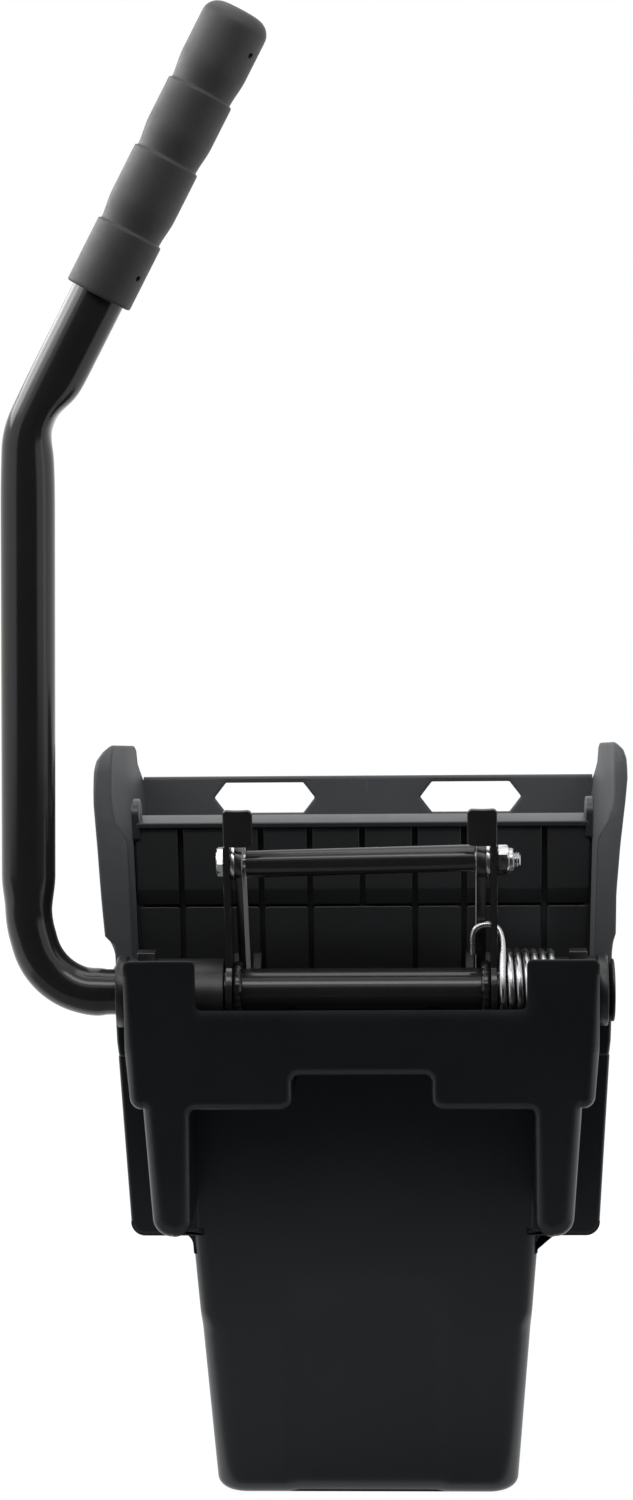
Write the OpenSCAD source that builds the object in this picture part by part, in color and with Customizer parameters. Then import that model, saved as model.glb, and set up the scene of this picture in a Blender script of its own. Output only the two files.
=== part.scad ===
// Side press mop wringer: a moulded hopper that sits in a mop bucket, with a lever handle that swings a
// press plate towards the fixed back wall through a pair of cranks and links.
// Millimetres. X runs to the right as seen from the shaft side, Y runs away from that side, Z runs up.
// The origin is the centre of the underside of the lower basket.

/* [Moulded body] */
// Thickness of the moulded walls
wall = 4; // [3:0.5:6]
// Thickness of the floor of the lower basket
floor_thick = 5; // [3:0.5:8]
// Half width of the lower basket at the floor
basket_half_low = 75.8; // [60:0.1:90]
// Half width of the lower basket at the shoulder
basket_half_high = 86.3; // [70:0.1:100]
// Half depth of the floor of the lower basket
base_half_depth = 55; // [40:1:70]
// Depth of the lower basket's front wall at the shoulder, measured forward of the origin
basket_front_high = 63; // [50:1:80]
// Height of the underside of the shoulder that rests on the bucket rim
shoulder_z = 136.5; // [100:0.5:160]
// Half width of the hopper at the shoulder
hopper_half_low = 115.8; // [100:0.1:130]
// Half width of the hopper where its sides turn steeper
hopper_half_break = 121.5; // [105:0.5:132]
// Height at which its sides turn steeper
break_z = 235; // [180:1:280]
// Radius of the hopper's lower corners
hopper_corner_r = 7; // [3:0.5:9]
// Half width of the hopper where the cheeks begin to flare
hopper_half_mid = 124.5; // [110:0.5:135]
// Height at which the cheeks begin to flare
flare_z = 330; // [300:1:350]
// Half width of the hopper above the flare
hopper_half_top = 128.5; // [115:0.5:140]
// Height at which the flare ends
flare_end_z = 352; // [335:1:370]
// Height of the top edge of the back wall
back_top_z = 344.5; // [300:0.5:380]
// How far behind the origin the inside of the back wall's top edge lies
back_top_y = 104; // [80:1:130]
// Height of the rear end of the cheeks' sloping top
cheek_rear_z = 367; // [345:1:390]
// How far behind the origin that rear end lies
cheek_rear_y = 60; // [30:1:90]
// How far forward of the origin the cheeks' front edge lies at its foot
cheek_front_y = 52; // [40:1:60]
// Radius in which the cheeks' front edge curves back above its foot
cheek_curve_r = 220; // [150:5:400]
// Turn of that curve
cheek_curve_turn = 24; // [10:1:35]
// Radius of the cheeks' upper front corner
cheek_corner_r = 14; // [8:1:30]
// Radius of the cheeks' upper rear corner
cheek_rear_r = 22; // [5:1:40]

/* [Cheek rims] */
// Height of the lower end of the rims
rim_low_z = 282; // [265:1:300]
// Thickness of the rim band
rim_thick = 5; // [3:0.5:8]
// Inner half widths of the rims at their foot, below the flare, above the flare and at the top
rim_inner = [115, 117, 122.5, 124];
// Outer half widths of the rims at the same heights
rim_outer = [125.4, 129, 131.4, 125.4];
// Depth from the front edge at which the rims end
rim_run = 34; // [10:1:60]
// Share of the height from the flare's end to the cheek's top where the rim starts to draw in
rim_knee_share = 0.5; // [0.2:0.05:0.8]

/* [Hand holes] */
// Distance of each hand hole's centre from the middle
hand_hole_x = 56; // [40:1:70]
// Height of the hand holes' centres
hand_hole_z = 333; // [310:1:345]
// Half length of a hand hole between its points
hand_hole_half = 27.4; // [15:0.2:35]
// Half length of a hand hole's flat edges
hand_hole_flat = 21; // [10:0.5:30]
// Half height of a hand hole
hand_hole_rise = 8.2; // [5:0.2:14]

/* [Shaft housing] */
// How far forward of the origin the housing's front face lies
housing_front = 106; // [90:1:125]
// Half width of the housing
housing_half = 113.5; // [100:0.5:120]
// Half width of the housing at its underside
housing_half_low = 111; // [100:0.5:120]
// Height where the housing's sides begin to draw in
housing_draw_z = 240; // [215:1:260]
// Height of the tops of the two housing towers
tower_top_z = 284; // [270:1:300]
// Width of each housing tower
tower_width = 34.5; // [25:0.5:50]
// Height of the notch's lower edge
notch_z = 259.5; // [240:0.5:270]
// Corner radius of the notch and the towers
notch_r = 6; // [2:0.5:12]
// Height of the housing's underside
housing_low_z = 210.5; // [195:0.5:230]
// Height of the raised middle of that underside
housing_mid_z = 227.4; // [215:0.2:245]
// Half width of the raised middle
housing_mid_half = 33; // [20:1:50]
// Corner radius of the raised middle
housing_mid_r = 3; // [1:0.5:6]

/* [Corner pillars] */
// Half distance between the pillars
pillar_inner = 83; // [70:1:90]
// Distance of the pillars' outer edges from the middle at their heads
pillar_outer_high = 105.5; // [95:0.5:112]
// Distance of the pillars' outer edges from the middle at their feet
pillar_outer_low = 101; // [90:0.5:110]
// Height of the pillars' feet
pillar_low_z = 147.5; // [135:0.5:165]
// Corner radius of the pillars' feet
pillar_r = 8; // [3:0.5:10]

/* [Body details] */
// Radius of the drain holes in the floor
drain_r = 4; // [2:0.5:6]
// Places of the drain holes across the floor
drain_x = [-54, -32, 32, 54];
// Places of the drain holes along the floor
drain_y = [-36, -12, 12, 36];
// Places of the upright ribs on the back wall
back_rib_x = [-70, -35, 0, 35, 70];
// Width of an upright rib on the back wall
back_rib_width = 6; // [3:0.5:10]
// How far those ribs stand out of the wall
back_rib_proud = 4; // [2:0.5:8]
// Height where those ribs begin
back_rib_low = 150; // [140:1:200]
// Height where those ribs end
back_rib_high = 300; // [250:1:320]

/* [Shaft and bushings] */
// How far forward of the origin the shaft lies
shaft_y = 76; // [60:1:90]
// Height of the shaft
shaft_z = 263; // [240:1:280]
// Radius of the shaft
shaft_r = 11.1; // [9:0.1:14]
// Thickness of the tube's wall
tube_wall = 1.6; // [1:0.1:3]
// Radial clearance of the shaft in its bushings
shaft_clearance = 0.08; // [0.02:0.01:0.1]
// Outer radius of the bushing sleeves
sleeve_r = 16; // [13:0.5:18]
// Gap between the sleeves' inner ends and the crank arms
sleeve_gap = 1; // [0.5:0.1:3]
// Radius of the bushing flanges
flange_r = 17.3; // [16:0.1:22]
// Thickness of the bushing flanges
flange_thick = 5.2; // [3:0.2:8]
// Gap round the bushing flanges
flange_clearance = 0.6; // [0.3:0.1:2]
// Gap that lets a fixed piece drop into its seat
seat_clearance = 0.1; // [0.05:0.05:0.3]
// Width of the locking key on each sleeve
key_width = 9; // [5:0.5:14]
// Length of the locking key along the sleeve
key_length = 9; // [5:0.5:14]
// How far the locking key stands above the sleeve
key_rise = 4; // [2:0.5:6]
// Gap between the locking key and the housing's wall
key_gap = 0.5; // [0.2:0.1:2]

/* [Handle tube] */
// Radius of the handle tube
tube_r = 13; // [11:0.1:15]
// Radius of the tube through the lower bends
bend_tube_r = 11.7; // [11:0.1:14]
// How far the shaft's free end stands out of the housing
shaft_past = 5.5; // [3:0.5:12]
// How far outside the housing the lower bend begins
bend_past = 14.8; // [10:0.1:25]
// Radius of the tight part of the lower bend
bend_tight_r = 31.6; // [20:0.1:50]
// Turn of the tight part of the lower bend
bend_tight_turn = 75.7; // [40:0.1:85]
// Radius of the gentle part of the lower bend
bend_gentle_r = 50; // [30:1:120]
// Lean of the long straight towards the middle
handle_lean = 1.2; // [0:0.1:4]
// Length of the swaged steps between the tube's sizes
swage_length = 5; // [2:0.5:10]
// Height where the handle's upper bend begins to turn, taken at the corner of its straights
upper_corner_z = 533; // [480:1:600]
// Radius of the upper bend
upper_bend_r = 32; // [25:1:80]
// Lean of the grip towards the middle
grip_lean = 28.1; // [15:0.1:45]
// Length of tube past the upper corner
tube_past_corner = 216.6; // [180:0.1:240]
// Length by which a straight run laps over a bend
lap = 0.5; // [0.2:0.1:1]
// Thinning of the tube's wall on each side within a bend
lap_inset = 0.05; // [0.02:0.01:0.1]

/* [Grip] */
// Distance from the upper corner to the grip's lower rim
grip_start = 74.6; // [60:0.1:90]
// Length of the grip
grip_length = 148; // [120:1:170]
// Largest radius of the grip
grip_r = 16.4; // [14:0.1:20]
// Depth of the steps between the finger segments
grip_step = 1.3; // [0.5:0.1:2.5]
// Places of the steps, measured from the lower rim
grip_steps = [33, 71, 106];
// Length over which each segment swells to full size
grip_swell = 13; // [6:0.5:20]
// Corner radius of the grip's closed end
grip_end_r = 8; // [3:0.5:12]
// Gap between the tube and the grip's bore
grip_clearance = 0.05; // [0:0.05:0.2]
// Radius of the two vent holes
vent_r = 1.3; // [0.8:0.1:2]
// Places of the vent holes, measured from the lower rim
vent_at = [15.5, 131];
// Turn of the vent holes from the front
vent_turn = 60; // [0:1:90]

/* [Crank arms and pivot] */
// Distance of the arms' inner faces from the housing's sides
arm_inset = 51.2; // [45:0.1:60]
// Thickness of the arms
arm_thick = 3.2; // [2:0.1:5]
// Half width of the arms
arm_half = 9; // [6:0.5:12]
// Radius of the arms' eyes round the shaft
arm_eye_r = 17; // [14:0.5:20]
// Distance from the shaft to the pivot bolt
crank_r = 66; // [55:0.5:80]
// Lean of the arms towards the front at rest
crank_lean = 8; // [0:0.5:15]
// Distance from the shaft to the foot of the bent tabs
tab_low = 75.5; // [70:0.5:85]
// Distance from the shaft to the head of the bent tabs
tab_high = 92; // [80:0.5:100]
// Distance of the tabs' inner edges from the middle
tab_inner_x = 51; // [40:0.5:58]
// Radius of the hole that takes the spring's hook
hook_hole_r = 4.3; // [2.5:0.1:5]
// Distance of that hole from the shaft
hook_hole_at = 32.8; // [25:0.1:45]
// Length of the welds along the shaft
weld_length = 2.2; // [1:0.1:8]
// Radius of the welds where they meet the arms
weld_r = 15; // [12:0.5:18]
// Thickness of the welds at their thin ends
weld_toe = 0.5; // [0.2:0.1:1]
// Radius of the pivot bolt
bolt_r = 4; // [3:0.5:6]
// Clearance round the pivot bolt
bolt_clearance = 0.08; // [0.02:0.01:0.1]
// Thickness of the bolt's head
head_thick = 3.6; // [3:0.1:6]
// Distance across the flats of the head and nut
hex_flats = 13; // [10:0.5:17]
// Thickness of the lock nut's hexagon
nut_hex_thick = 5.6; // [4:0.1:8]
// Thickness of the lock nut's round collar
nut_collar_thick = 2.2; // [1:0.1:4]
// Radius of the lock nut's round collar
nut_collar_r = 5.9; // [5:0.1:7]
// Outer radius of the nut's soft insert
insert_r = 5; // [4.5:0.1:5.6]
// Length of bolt that stands out of the nut
bolt_tail = 3.4; // [1:0.1:8]
// Radius of the washers
washer_r = 8.7; // [7:0.1:10]
// Thickness of the washers
washer_thick = 2; // [1:0.1:3]
// Side play between neighbours on the pivot bolt
side_play = 0.1; // [0.05:0.05:0.4]
// Outer radius of the spacer tube
spacer_r = 6.5; // [6:0.1:9]
// Inner radius of the spacer tube
spacer_bore_r = 5.8; // [5:0.1:7]
// Tilt at which the loose spacer tube rests
spacer_tilt = 1.4; // [0:0.1:1.5]
// End gap of the loose spacer tube
spacer_gap = 0.5; // [0.2:0.1:2]

/* [Links] */
// Thickness of the links
link_thick = 4.6; // [3:0.1:8]
// Half width of the links
link_half = 7.5; // [5:0.5:10]
// Radius of the links' upper eyes
link_eye_r = 8.75; // [7:0.25:11]
// Radius of the link pins
pin_r = 3.5; // [3:0.1:5]
// Clearance of the link pins in their eyes
pin_clearance = 0.05; // [0.02:0.01:0.1]
// Radius of the pin clips
clip_r = 6; // [5:0.1:8]
// Thickness of the pin clips
clip_thick = 1.5; // [0.8:0.1:3]
// Length of pin that stands out of its clips
pin_tail = 0.8; // [0.2:0.1:2]

/* [Press plate] */
// How far forward of the origin the plate's hinge lies
hinge_y = 6; // [-10:1:20]
// Height of the plate's hinge
hinge_z = 24; // [18:1:40]
// Lean of the plate towards the front at rest
plate_lean = 5.5; // [0:0.5:12]
// Radius of the hinge rod
rod_r = 4; // [3:0.5:6]
// Radial clearance of the plate on the hinge rod
rod_clearance = 0.08; // [0.02:0.01:0.1]
// Radius of the plate's knuckle
knuckle_r = 9; // [7:0.5:12]
// Half length of the plate's knuckle
knuckle_half = 67; // [50:1:70]
// Height of the plate's top above the hinge, along the plate
plate_top = 319; // [280:1:330]
// Height of the foot of the plate's wide part
plate_wide_low = 126; // [115:1:150]
// Half width of the plate at its top
plate_half_top = 112.5; // [100:0.5:116]
// Half width of the wide part at its foot
plate_half_low = 104; // [90:0.5:110]
// Half width of the narrow part at its top
plate_narrow_high = 72; // [60:1:76]
// Back face of the slab behind the plate's hinge line
slab_back = 2; // [0:0.5:6]
// Front face of the lower row of tiles before the hinge line
tile_low_front = 5; // [3:0.5:8]
// Front face of the upper row of tiles before the hinge line
tile_high_front = 8; // [5:0.5:12]
// Height of the crease between the two rows
crease_t = 276.5; // [250:0.5:300]
// Height above the crease where the upper tiles reach full depth
crease_slope = 9; // [4:0.5:15]
// Depth of the plate's top flange before the hinge line
flange_front = 10; // [8:0.5:14]
// Depth of the plate's top flange behind the hinge line
flange_back = 8; // [5:0.5:12]
// Height of the plate's top flange
flange_high = 8; // [4:0.5:12]
// Thickness of the plate's side flanges
ear_thick = 4; // [3:0.5:6]
// Height of the rounded ears above the plate's top
ear_rise = 11; // [5:0.5:16]
// Places of the grooves between the tiles
groove_x = [-90, -50.2, -26, 26, 50.2, 90];
// Width of a groove
groove_width = 2.7; // [1.5:0.1:4]
// Depth of a groove
groove_depth = 7; // [3:0.5:8]
// Depth of the crease between the rows
crease_depth = 3; // [1:0.5:4]
// Height of the crease between the rows
crease_width = 1.2; // [0.6:0.1:2]
// Places of the pressing ribs on the mop side
press_rib_x = [-78, -52, -26, 0, 26, 52, 78];
// Width of a pressing rib
press_rib_width = 7; // [4:0.5:10]
// How far the pressing ribs stand out
press_rib_proud = 6; // [3:0.5:10]
// How far the pressing ribs stop short of the wide part's foot and of the plate's top
press_rib_margin = [12, 17];
// Distance of the link pins before the hinge line
pin_front = 18.5; // [15:0.5:25]
// Height of the link pins above the hinge, along the plate
pin_t = 224; // [200:1:250]
// Thickness of the lugs that carry the link pins
lug_thick = 4; // [3:0.5:6]
// Gap between the links and the lugs
lug_gap = 0.6; // [0.3:0.1:2]
// Half height of the lugs
lug_half = 14; // [10:0.5:20]
// Distance of the lugs' front edges before the hinge line
lug_front = 26; // [22:0.5:32]
// Clearance of the pins in the slotted lugs
slot_clearance = 0.45; // [0.3:0.05:1]
// Travel of the pins along the slots
slot_travel = 4; // [3:0.1:6]
// Rise of the slots from the level
slot_rise = 38; // [0:1:90]

/* [Return spring] */
// Radius of the spring wire
wire_r = 1.7; // [1:0.1:2.5]
// Mean radius of the coil
coil_r = 18.6; // [17:0.1:22]
// Rise of the coil along the shaft in one turn
coil_pitch = 4.06; // [3.9:0.02:6]
// Distance of the coil's first turn from the arm's outer face
coil_gap = 2.2; // [2:0.1:6]
// Whole turns of the coil
coil_turns = 6; // [3:1:8]
// Turn at which the hooked leg leaves the coil
hook_leave = 150.85; // [120:0.05:180]
// Turn at which the fixed leg leaves the coil
fixed_leave = 165; // [150:1:180]
// Length of the fixed leg
fixed_leg = 22; // [10:1:30]
// Distance of the hook's free end from the arm's inner face
hook_end_in = 8.4; // [5:0.1:14]
// Height of the hook's free end
hook_end_z = 281.5; // [275:0.1:290]
// Height where the hook begins to turn
hook_turn_z = 289; // [283:0.1:294]
// Height of the hook's crown
hook_crown_z = 296.2; // [290:0.1:305]
// Distance of the hook's crown from the arm's inner face
hook_crown_in = 1.6; // [0:0.1:4]
// How far forward of the origin the hook's crown lies
hook_y = 80; // [76:0.1:86]
// Reach of the curve from the crown towards the coil
hook_reach = 9.5; // [3:0.1:12]
// Reach of the curve from the coil towards the crown
hook_run = 14; // [8:0.5:20]
// Share of a quarter circle's handle length in the hook's first curve
hook_handle_share = 0.6; // [0.4:0.05:0.8]
// Sides of the spring wire
wire_sides = 6; // [6:1:12]
// Rings in one turn of the coil
coil_rings = 24; // [24:4:48]
// Rings in one curve of the hook
curl_rings = 10; // [8:1:16]

/* [End cap] */
// Radius of the end cap's rim
cap_r = 15.2; // [13:0.1:18]
// Radius of the end cap's neck
cap_neck_r = 12.2; // [11.5:0.1:14]
// Thickness of the end cap outside the shaft
cap_thick = 3; // [2:0.1:6]
// Thickness of the end cap's rim
cap_rim = 1.2; // [0.8:0.1:2]
// Length of the end cap's plug inside the shaft
plug_length = 9; // [5:0.5:15]

/* [Hidden] */
$fn = 72;
overrun = 3;
far = 400;
bend_points = 8;
half_turn = 180;
quarter_turn = 90;
full_turn = 360;
hex_sides = 6;
cubic = 3;
eighth_turn = 45;
leg_steps = 3;
back_slope_share = (back_top_y - (base_half_depth - wall)) / back_top_z;
basket_slope_share = (basket_half_high - basket_half_low) / shoulder_z;
front_slope_share = (basket_front_high - base_half_depth) / shoulder_z;
shoulder_top = shoulder_z + wall;
cheek_corner = [cheek_curve_r - cheek_front_y - (cheek_curve_r - cheek_corner_r) * cos(cheek_curve_turn),
    rim_low_z + (cheek_curve_r - cheek_corner_r) * sin(cheek_curve_turn)];
cheek_front_z = cheek_corner[1] + cheek_corner_r;
rim_knee_z = flare_end_z + (cheek_front_z - flare_end_z) * rim_knee_share;
back_skin = wall / cos(atan(back_slope_share));
housing_back = basket_front_high - wall;
crank_point = [-shaft_y - crank_r * sin(crank_lean), shaft_z + crank_r * cos(crank_lean)];
pin_point = [-hinge_y - pin_front * cos(plate_lean) - pin_t * sin(plate_lean),
    hinge_z - pin_front * sin(plate_lean) + pin_t * cos(plate_lean)];
link_run = pin_point - crank_point;
link_length = norm(link_run);
link_angle = atan2(link_run[1], link_run[0]);
notch_half = housing_half - tower_width;
shaft_end_x = housing_half + shaft_past;
bend_start_x = housing_half + bend_past;
arm_inner_x = housing_half - arm_inset;
arm_outer_x = arm_inner_x + arm_thick;
sleeve_inner_x = arm_outer_x + sleeve_gap;
coil_start_x = arm_outer_x + coil_gap;
hook_end_x = arm_inner_x - hook_end_in;
hook_crown_x = arm_inner_x - hook_crown_in;
washer_x = arm_inner_x - side_play - washer_thick;
link_outer_x = washer_x - side_play;
link_inner_x = link_outer_x - link_thick;
lug_inner_x = link_inner_x - lug_gap - lug_thick;
lug_outer_x = link_outer_x + lug_gap;
bolt_end_x = arm_outer_x + side_play + nut_hex_thick + nut_collar_thick + bolt_tail;
tight_end = [-bend_start_x - bend_tight_r * sin(bend_tight_turn),
    shaft_z + bend_tight_r * (1 - cos(bend_tight_turn))];
swage_end = tight_end + swage_length * [-cos(bend_tight_turn), sin(bend_tight_turn)];
gentle_turn = quarter_turn - bend_tight_turn + handle_lean;
gentle_centre = swage_end + bend_gentle_r * [sin(bend_tight_turn), cos(bend_tight_turn)];
gentle_end = gentle_centre - bend_gentle_r * [cos(handle_lean), -sin(handle_lean)];
upper_corner = gentle_end + (upper_corner_z - gentle_end[1]) * [tan(handle_lean), 1];
upper_turn = grip_lean - handle_lean;
upper_tangent = upper_bend_r * tan(upper_turn / 2);
upper_start = upper_corner - upper_tangent * [sin(handle_lean), cos(handle_lean)];
upper_end = upper_corner + upper_tangent * [sin(grip_lean), cos(grip_lean)];
upper_centre = upper_start + upper_bend_r * [cos(handle_lean), -sin(handle_lean)];
straight_length = norm(upper_start - gentle_end);
grip_tube_length = tube_past_corner - upper_tangent;

// Points of an arc round a centre
function arc(centre, r, from, to) =
    [for (i = [0 : bend_points]) centre + r * [cos(from + (to - from) * i / bend_points),
        sin(from + (to - from) * i / bend_points)]];

// An outline in depth and height, drawn out across the width
module across(x0, x1) {
    translate([x0, 0, 0])
        rotate([quarter_turn, 0, quarter_turn])
            linear_extrude(x1 - x0)
                children();
}

// An outline in width and height, drawn out along the depth
module along(y0, y1) {
    translate([0, y1, 0])
        rotate([quarter_turn, 0, 0])
            linear_extrude(y1 - y0)
                children();
}

// A piece and its mirror image in the middle plane
module both() {
    children();
    mirror([1, 0, 0])
        children();
}

// Tapered block that the lower basket is cut from or hollowed with
module basket_block(inset, low, high) {
    intersection() {
        along(-far, far)
            polygon([
                [-basket_half_low + inset - basket_slope_share * low, low],
                [basket_half_low - inset + basket_slope_share * low, low],
                [basket_half_low - inset + basket_slope_share * high, high],
                [-basket_half_low + inset - basket_slope_share * high, high]]);
        across(-far, far)
            polygon([
                [-base_half_depth + inset - front_slope_share * low, low],
                [base_half_depth - inset + back_slope_share * low, low],
                [base_half_depth - inset + back_slope_share * high, high],
                [-base_half_depth + inset - front_slope_share * high, high]]);
    }
}

// Outline of the hopper and its cheeks seen from the side, drawn in by an inset
module cheek_outline(inset) {
    polygon(concat(
        [[-cheek_front_y + inset, shoulder_z],
            [base_half_depth - wall + back_skin - inset + back_slope_share * shoulder_z, shoulder_z],
            [back_top_y + back_skin - inset, back_top_z]],
        arc([cheek_rear_y, cheek_rear_z - inset - cheek_rear_r * 2], cheek_rear_r * 2, eighth_turn,
            quarter_turn),
        arc(cheek_corner, cheek_corner_r - inset, quarter_turn, half_turn - cheek_curve_turn),
        arc([cheek_curve_r - cheek_front_y, rim_low_z], cheek_curve_r - inset, half_turn - cheek_curve_turn,
            half_turn)));
}

// Outline of the hopper's walls seen from the front, drawn in by an inset
module hopper_section(inset, low) {
    corner = [hopper_half_low - hopper_corner_r, low + hopper_corner_r - inset];
    half = concat(
        arc(corner, hopper_corner_r - inset, -quarter_turn, 0),
        [[hopper_half_break - inset, break_z],
            [hopper_half_mid - inset, flare_z],
            [hopper_half_top - inset, flare_end_z],
            [hopper_half_top - inset, far]]);
    polygon(concat(half, [for (i = [len(half) - 1 : -1 : 0]) [-half[i][0], half[i][1]]]));
}

// Hollow hopper with its back wall and its two cheeks, open at the top and at the front
module hopper_shell() {
    difference() {
        intersection() {
            across(-far, far)
                cheek_outline(0);
            along(-far, far)
                hopper_section(0, shoulder_z);
        }
        intersection() {
            across(-far, far)
                polygon([
                    [-far, shoulder_top],
                    [base_half_depth - wall + back_slope_share * shoulder_top, shoulder_top],
                    [base_half_depth - wall + back_slope_share * far, far],
                    [-far, far]]);
            along(-far, far)
                hopper_section(wall, shoulder_top);
        }
        basket_block(wall, floor_thick, shoulder_top + overrun);
    }
}

// Outward rim along the front edge of the right cheek, which fades out round the upper corner
module cheek_rim() {
    intersection() {
        across(0, far)
            difference() {
                cheek_outline(0);
                cheek_outline(rim_thick);
                translate([-far, 0])
                    square([far * 2, rim_low_z]);
                translate([rim_run - cheek_front_y, 0])
                    square([far, far]);
            }
        along(-far, far)
            polygon([
                [rim_inner[0], rim_low_z], [rim_outer[0], rim_low_z], [rim_outer[1], flare_z],
                [rim_outer[2], flare_end_z], [rim_outer[2], rim_knee_z],
                [rim_outer[3], cheek_front_z], [rim_inner[3], cheek_front_z],
                [rim_inner[2], flare_end_z], [rim_inner[1], flare_z]]);
    }
}

// Right half of the housing's front wall with its notch, stepped underside and pillar
module front_half() {
    polygon(concat(
        [[0, housing_mid_z], [0, notch_z]],
        arc([notch_half - notch_r, notch_z + notch_r], notch_r, -quarter_turn, 0),
        arc([notch_half + notch_r, tower_top_z - notch_r], notch_r, half_turn, quarter_turn),
        arc([housing_half - notch_r, tower_top_z - notch_r], notch_r, quarter_turn, 0),
        [[housing_half, housing_draw_z], [housing_half_low, housing_low_z],
            [pillar_outer_high, housing_low_z]],
        arc([pillar_outer_low - pillar_r, pillar_low_z + pillar_r], pillar_r, 0, -quarter_turn),
        arc([pillar_inner + pillar_r, pillar_low_z + pillar_r], pillar_r, -quarter_turn, -half_turn),
        [[pillar_inner, housing_low_z]],
        arc([housing_mid_half + housing_mid_r, housing_low_z + housing_mid_r], housing_mid_r, -quarter_turn,
            -half_turn),
        [[housing_mid_half, housing_mid_z]]));
}

// Outline of the right pillar's column, drawn in by an inset
module pillar_section(inset) {
    polygon(concat(
        [[pillar_inner + inset, housing_low_z], [pillar_outer_high - inset, housing_low_z]],
        arc([pillar_outer_low - pillar_r, pillar_low_z + pillar_r], pillar_r - inset, 0, -quarter_turn),
        arc([pillar_inner + pillar_r, pillar_low_z + pillar_r], pillar_r - inset, -quarter_turn,
            -half_turn)));
}

// Right half of the shaft housing: front wall, side wall, floor, pillar and the web to the hopper
module housing_right() {
    along(-housing_front, -housing_front + wall)
        front_half();
    along(-housing_front, -housing_back)
        polygon([
            [housing_half, tower_top_z - notch_r], [housing_half, housing_draw_z],
            [housing_half_low, housing_low_z], [pillar_outer_high - wall, housing_low_z],
            [pillar_outer_high - wall, housing_low_z + wall], [housing_half_low - wall, housing_low_z + wall],
            [housing_half - wall, housing_draw_z], [housing_half - wall, tower_top_z - notch_r]]);
    along(-housing_front, -housing_back)
        polygon([
            [0, housing_mid_z], [housing_mid_half, housing_mid_z], [housing_mid_half, housing_low_z],
            [pillar_inner + wall, housing_low_z], [pillar_inner + wall, housing_low_z + wall],
            [housing_mid_half + wall, housing_low_z + wall],
            [housing_mid_half + wall, housing_mid_z + wall], [0, housing_mid_z + wall]]);
    along(-housing_front, -housing_back)
        difference() {
            pillar_section(0);
            pillar_section(wall);
        }
    along(-basket_front_high, -housing_back)
        difference() {
            hopper_section(0, shoulder_z);
            translate([-far * 2, 0])
                square([far * 2, far]);
            translate([0, housing_mid_z + wall])
                square([housing_half - wall, far]);
            translate([housing_mid_half + wall, housing_low_z + wall])
                square([housing_half - wall - housing_mid_half - wall, far]);
            translate([0, rim_low_z + rim_thick])
                square([far, far]);
        }
    intersection() {
        across(housing_half - wall, hopper_half_mid - wall)
            polygon([
                [-basket_front_high, shoulder_top], [-cheek_front_y + overrun, shoulder_top],
                [-cheek_front_y + overrun, rim_low_z + rim_thick],
                [-basket_front_high, rim_low_z + rim_thick]]);
        along(-far, far)
            hopper_section(0, shoulder_z);
    }
}

// Upright ribs on the inside of the fixed back wall
module back_ribs() {
    for (x = back_rib_x)
        across(x - back_rib_width / 2, x + back_rib_width / 2)
            polygon([
                [base_half_depth - wall + back_slope_share * back_rib_low, back_rib_low],
                [base_half_depth + back_slope_share * back_rib_low, back_rib_low],
                [base_half_depth + back_slope_share * back_rib_high, back_rib_high],
                [base_half_depth - wall + back_slope_share * back_rib_high, back_rib_high],
                [base_half_depth - wall - back_rib_proud + back_slope_share * (back_rib_high - back_rib_proud),
                    back_rib_high - back_rib_proud],
                [base_half_depth - wall - back_rib_proud + back_slope_share * (back_rib_low + back_rib_proud),
                    back_rib_low + back_rib_proud]]);
}

module wringer_body() {
    color([0.05, 0.05, 0.055])
        difference() {
            union() {
                difference() {
                    basket_block(0, 0, shoulder_top);
                    basket_block(wall, floor_thick, shoulder_top + overrun);
                }
                hopper_shell();
                both()
                    cheek_rim();
                both()
                    housing_right();
                back_ribs();
            }
            both()
                translate([hand_hole_x, 0, hand_hole_z])
                    along(base_half_depth, far)
                        polygon([
                            [hand_hole_half, 0], [hand_hole_flat, hand_hole_rise],
                            [-hand_hole_flat, hand_hole_rise], [-hand_hole_half, 0],
                            [-hand_hole_flat, -hand_hole_rise], [hand_hole_flat, -hand_hole_rise]]);
            both()
                translate([sleeve_inner_x, -shaft_y, shaft_z])
                    rotate([0, quarter_turn, 0])
                        cylinder(r = sleeve_r + seat_clearance, h = far);
            both()
                translate([housing_half, -shaft_y, shaft_z])
                    rotate([0, quarter_turn, 0])
                        cylinder(r = flange_r + flange_clearance, h = far);
            translate([-far, -hinge_y, hinge_z])
                rotate([0, quarter_turn, 0])
                    cylinder(r = rod_r + pin_clearance, h = far * 2);
            for (x = drain_x, y = drain_y)
                translate([x, y, -overrun])
                    cylinder(r = drain_r, h = floor_thick + overrun * 2);
        }
}

// Flanged bushing for the right side of the housing
module bushing() {
    difference() {
        union() {
            translate([sleeve_inner_x, 0, 0])
                rotate([0, quarter_turn, 0])
                    cylinder(r = sleeve_r, h = housing_half + seat_clearance + flange_thick - sleeve_inner_x);
            translate([housing_half + seat_clearance, 0, 0])
                rotate([0, quarter_turn, 0])
                    cylinder(r = flange_r, h = flange_thick);
            translate([housing_half - wall - key_gap - key_length, -key_width / 2, 0])
                cube([key_length, key_width, sleeve_r + key_rise]);
        }
        translate([sleeve_inner_x - overrun, 0, 0])
            rotate([0, quarter_turn, 0])
                cylinder(r = shaft_r + shaft_clearance, h = far);
    }
}

module left_bushing() {
    color([0.06, 0.06, 0.065])
        translate([0, -shaft_y, shaft_z])
            mirror([1, 0, 0])
                bushing();
}

module right_bushing() {
    color([0.06, 0.06, 0.065])
        translate([0, -shaft_y, shaft_z])
            bushing();
}

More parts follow.
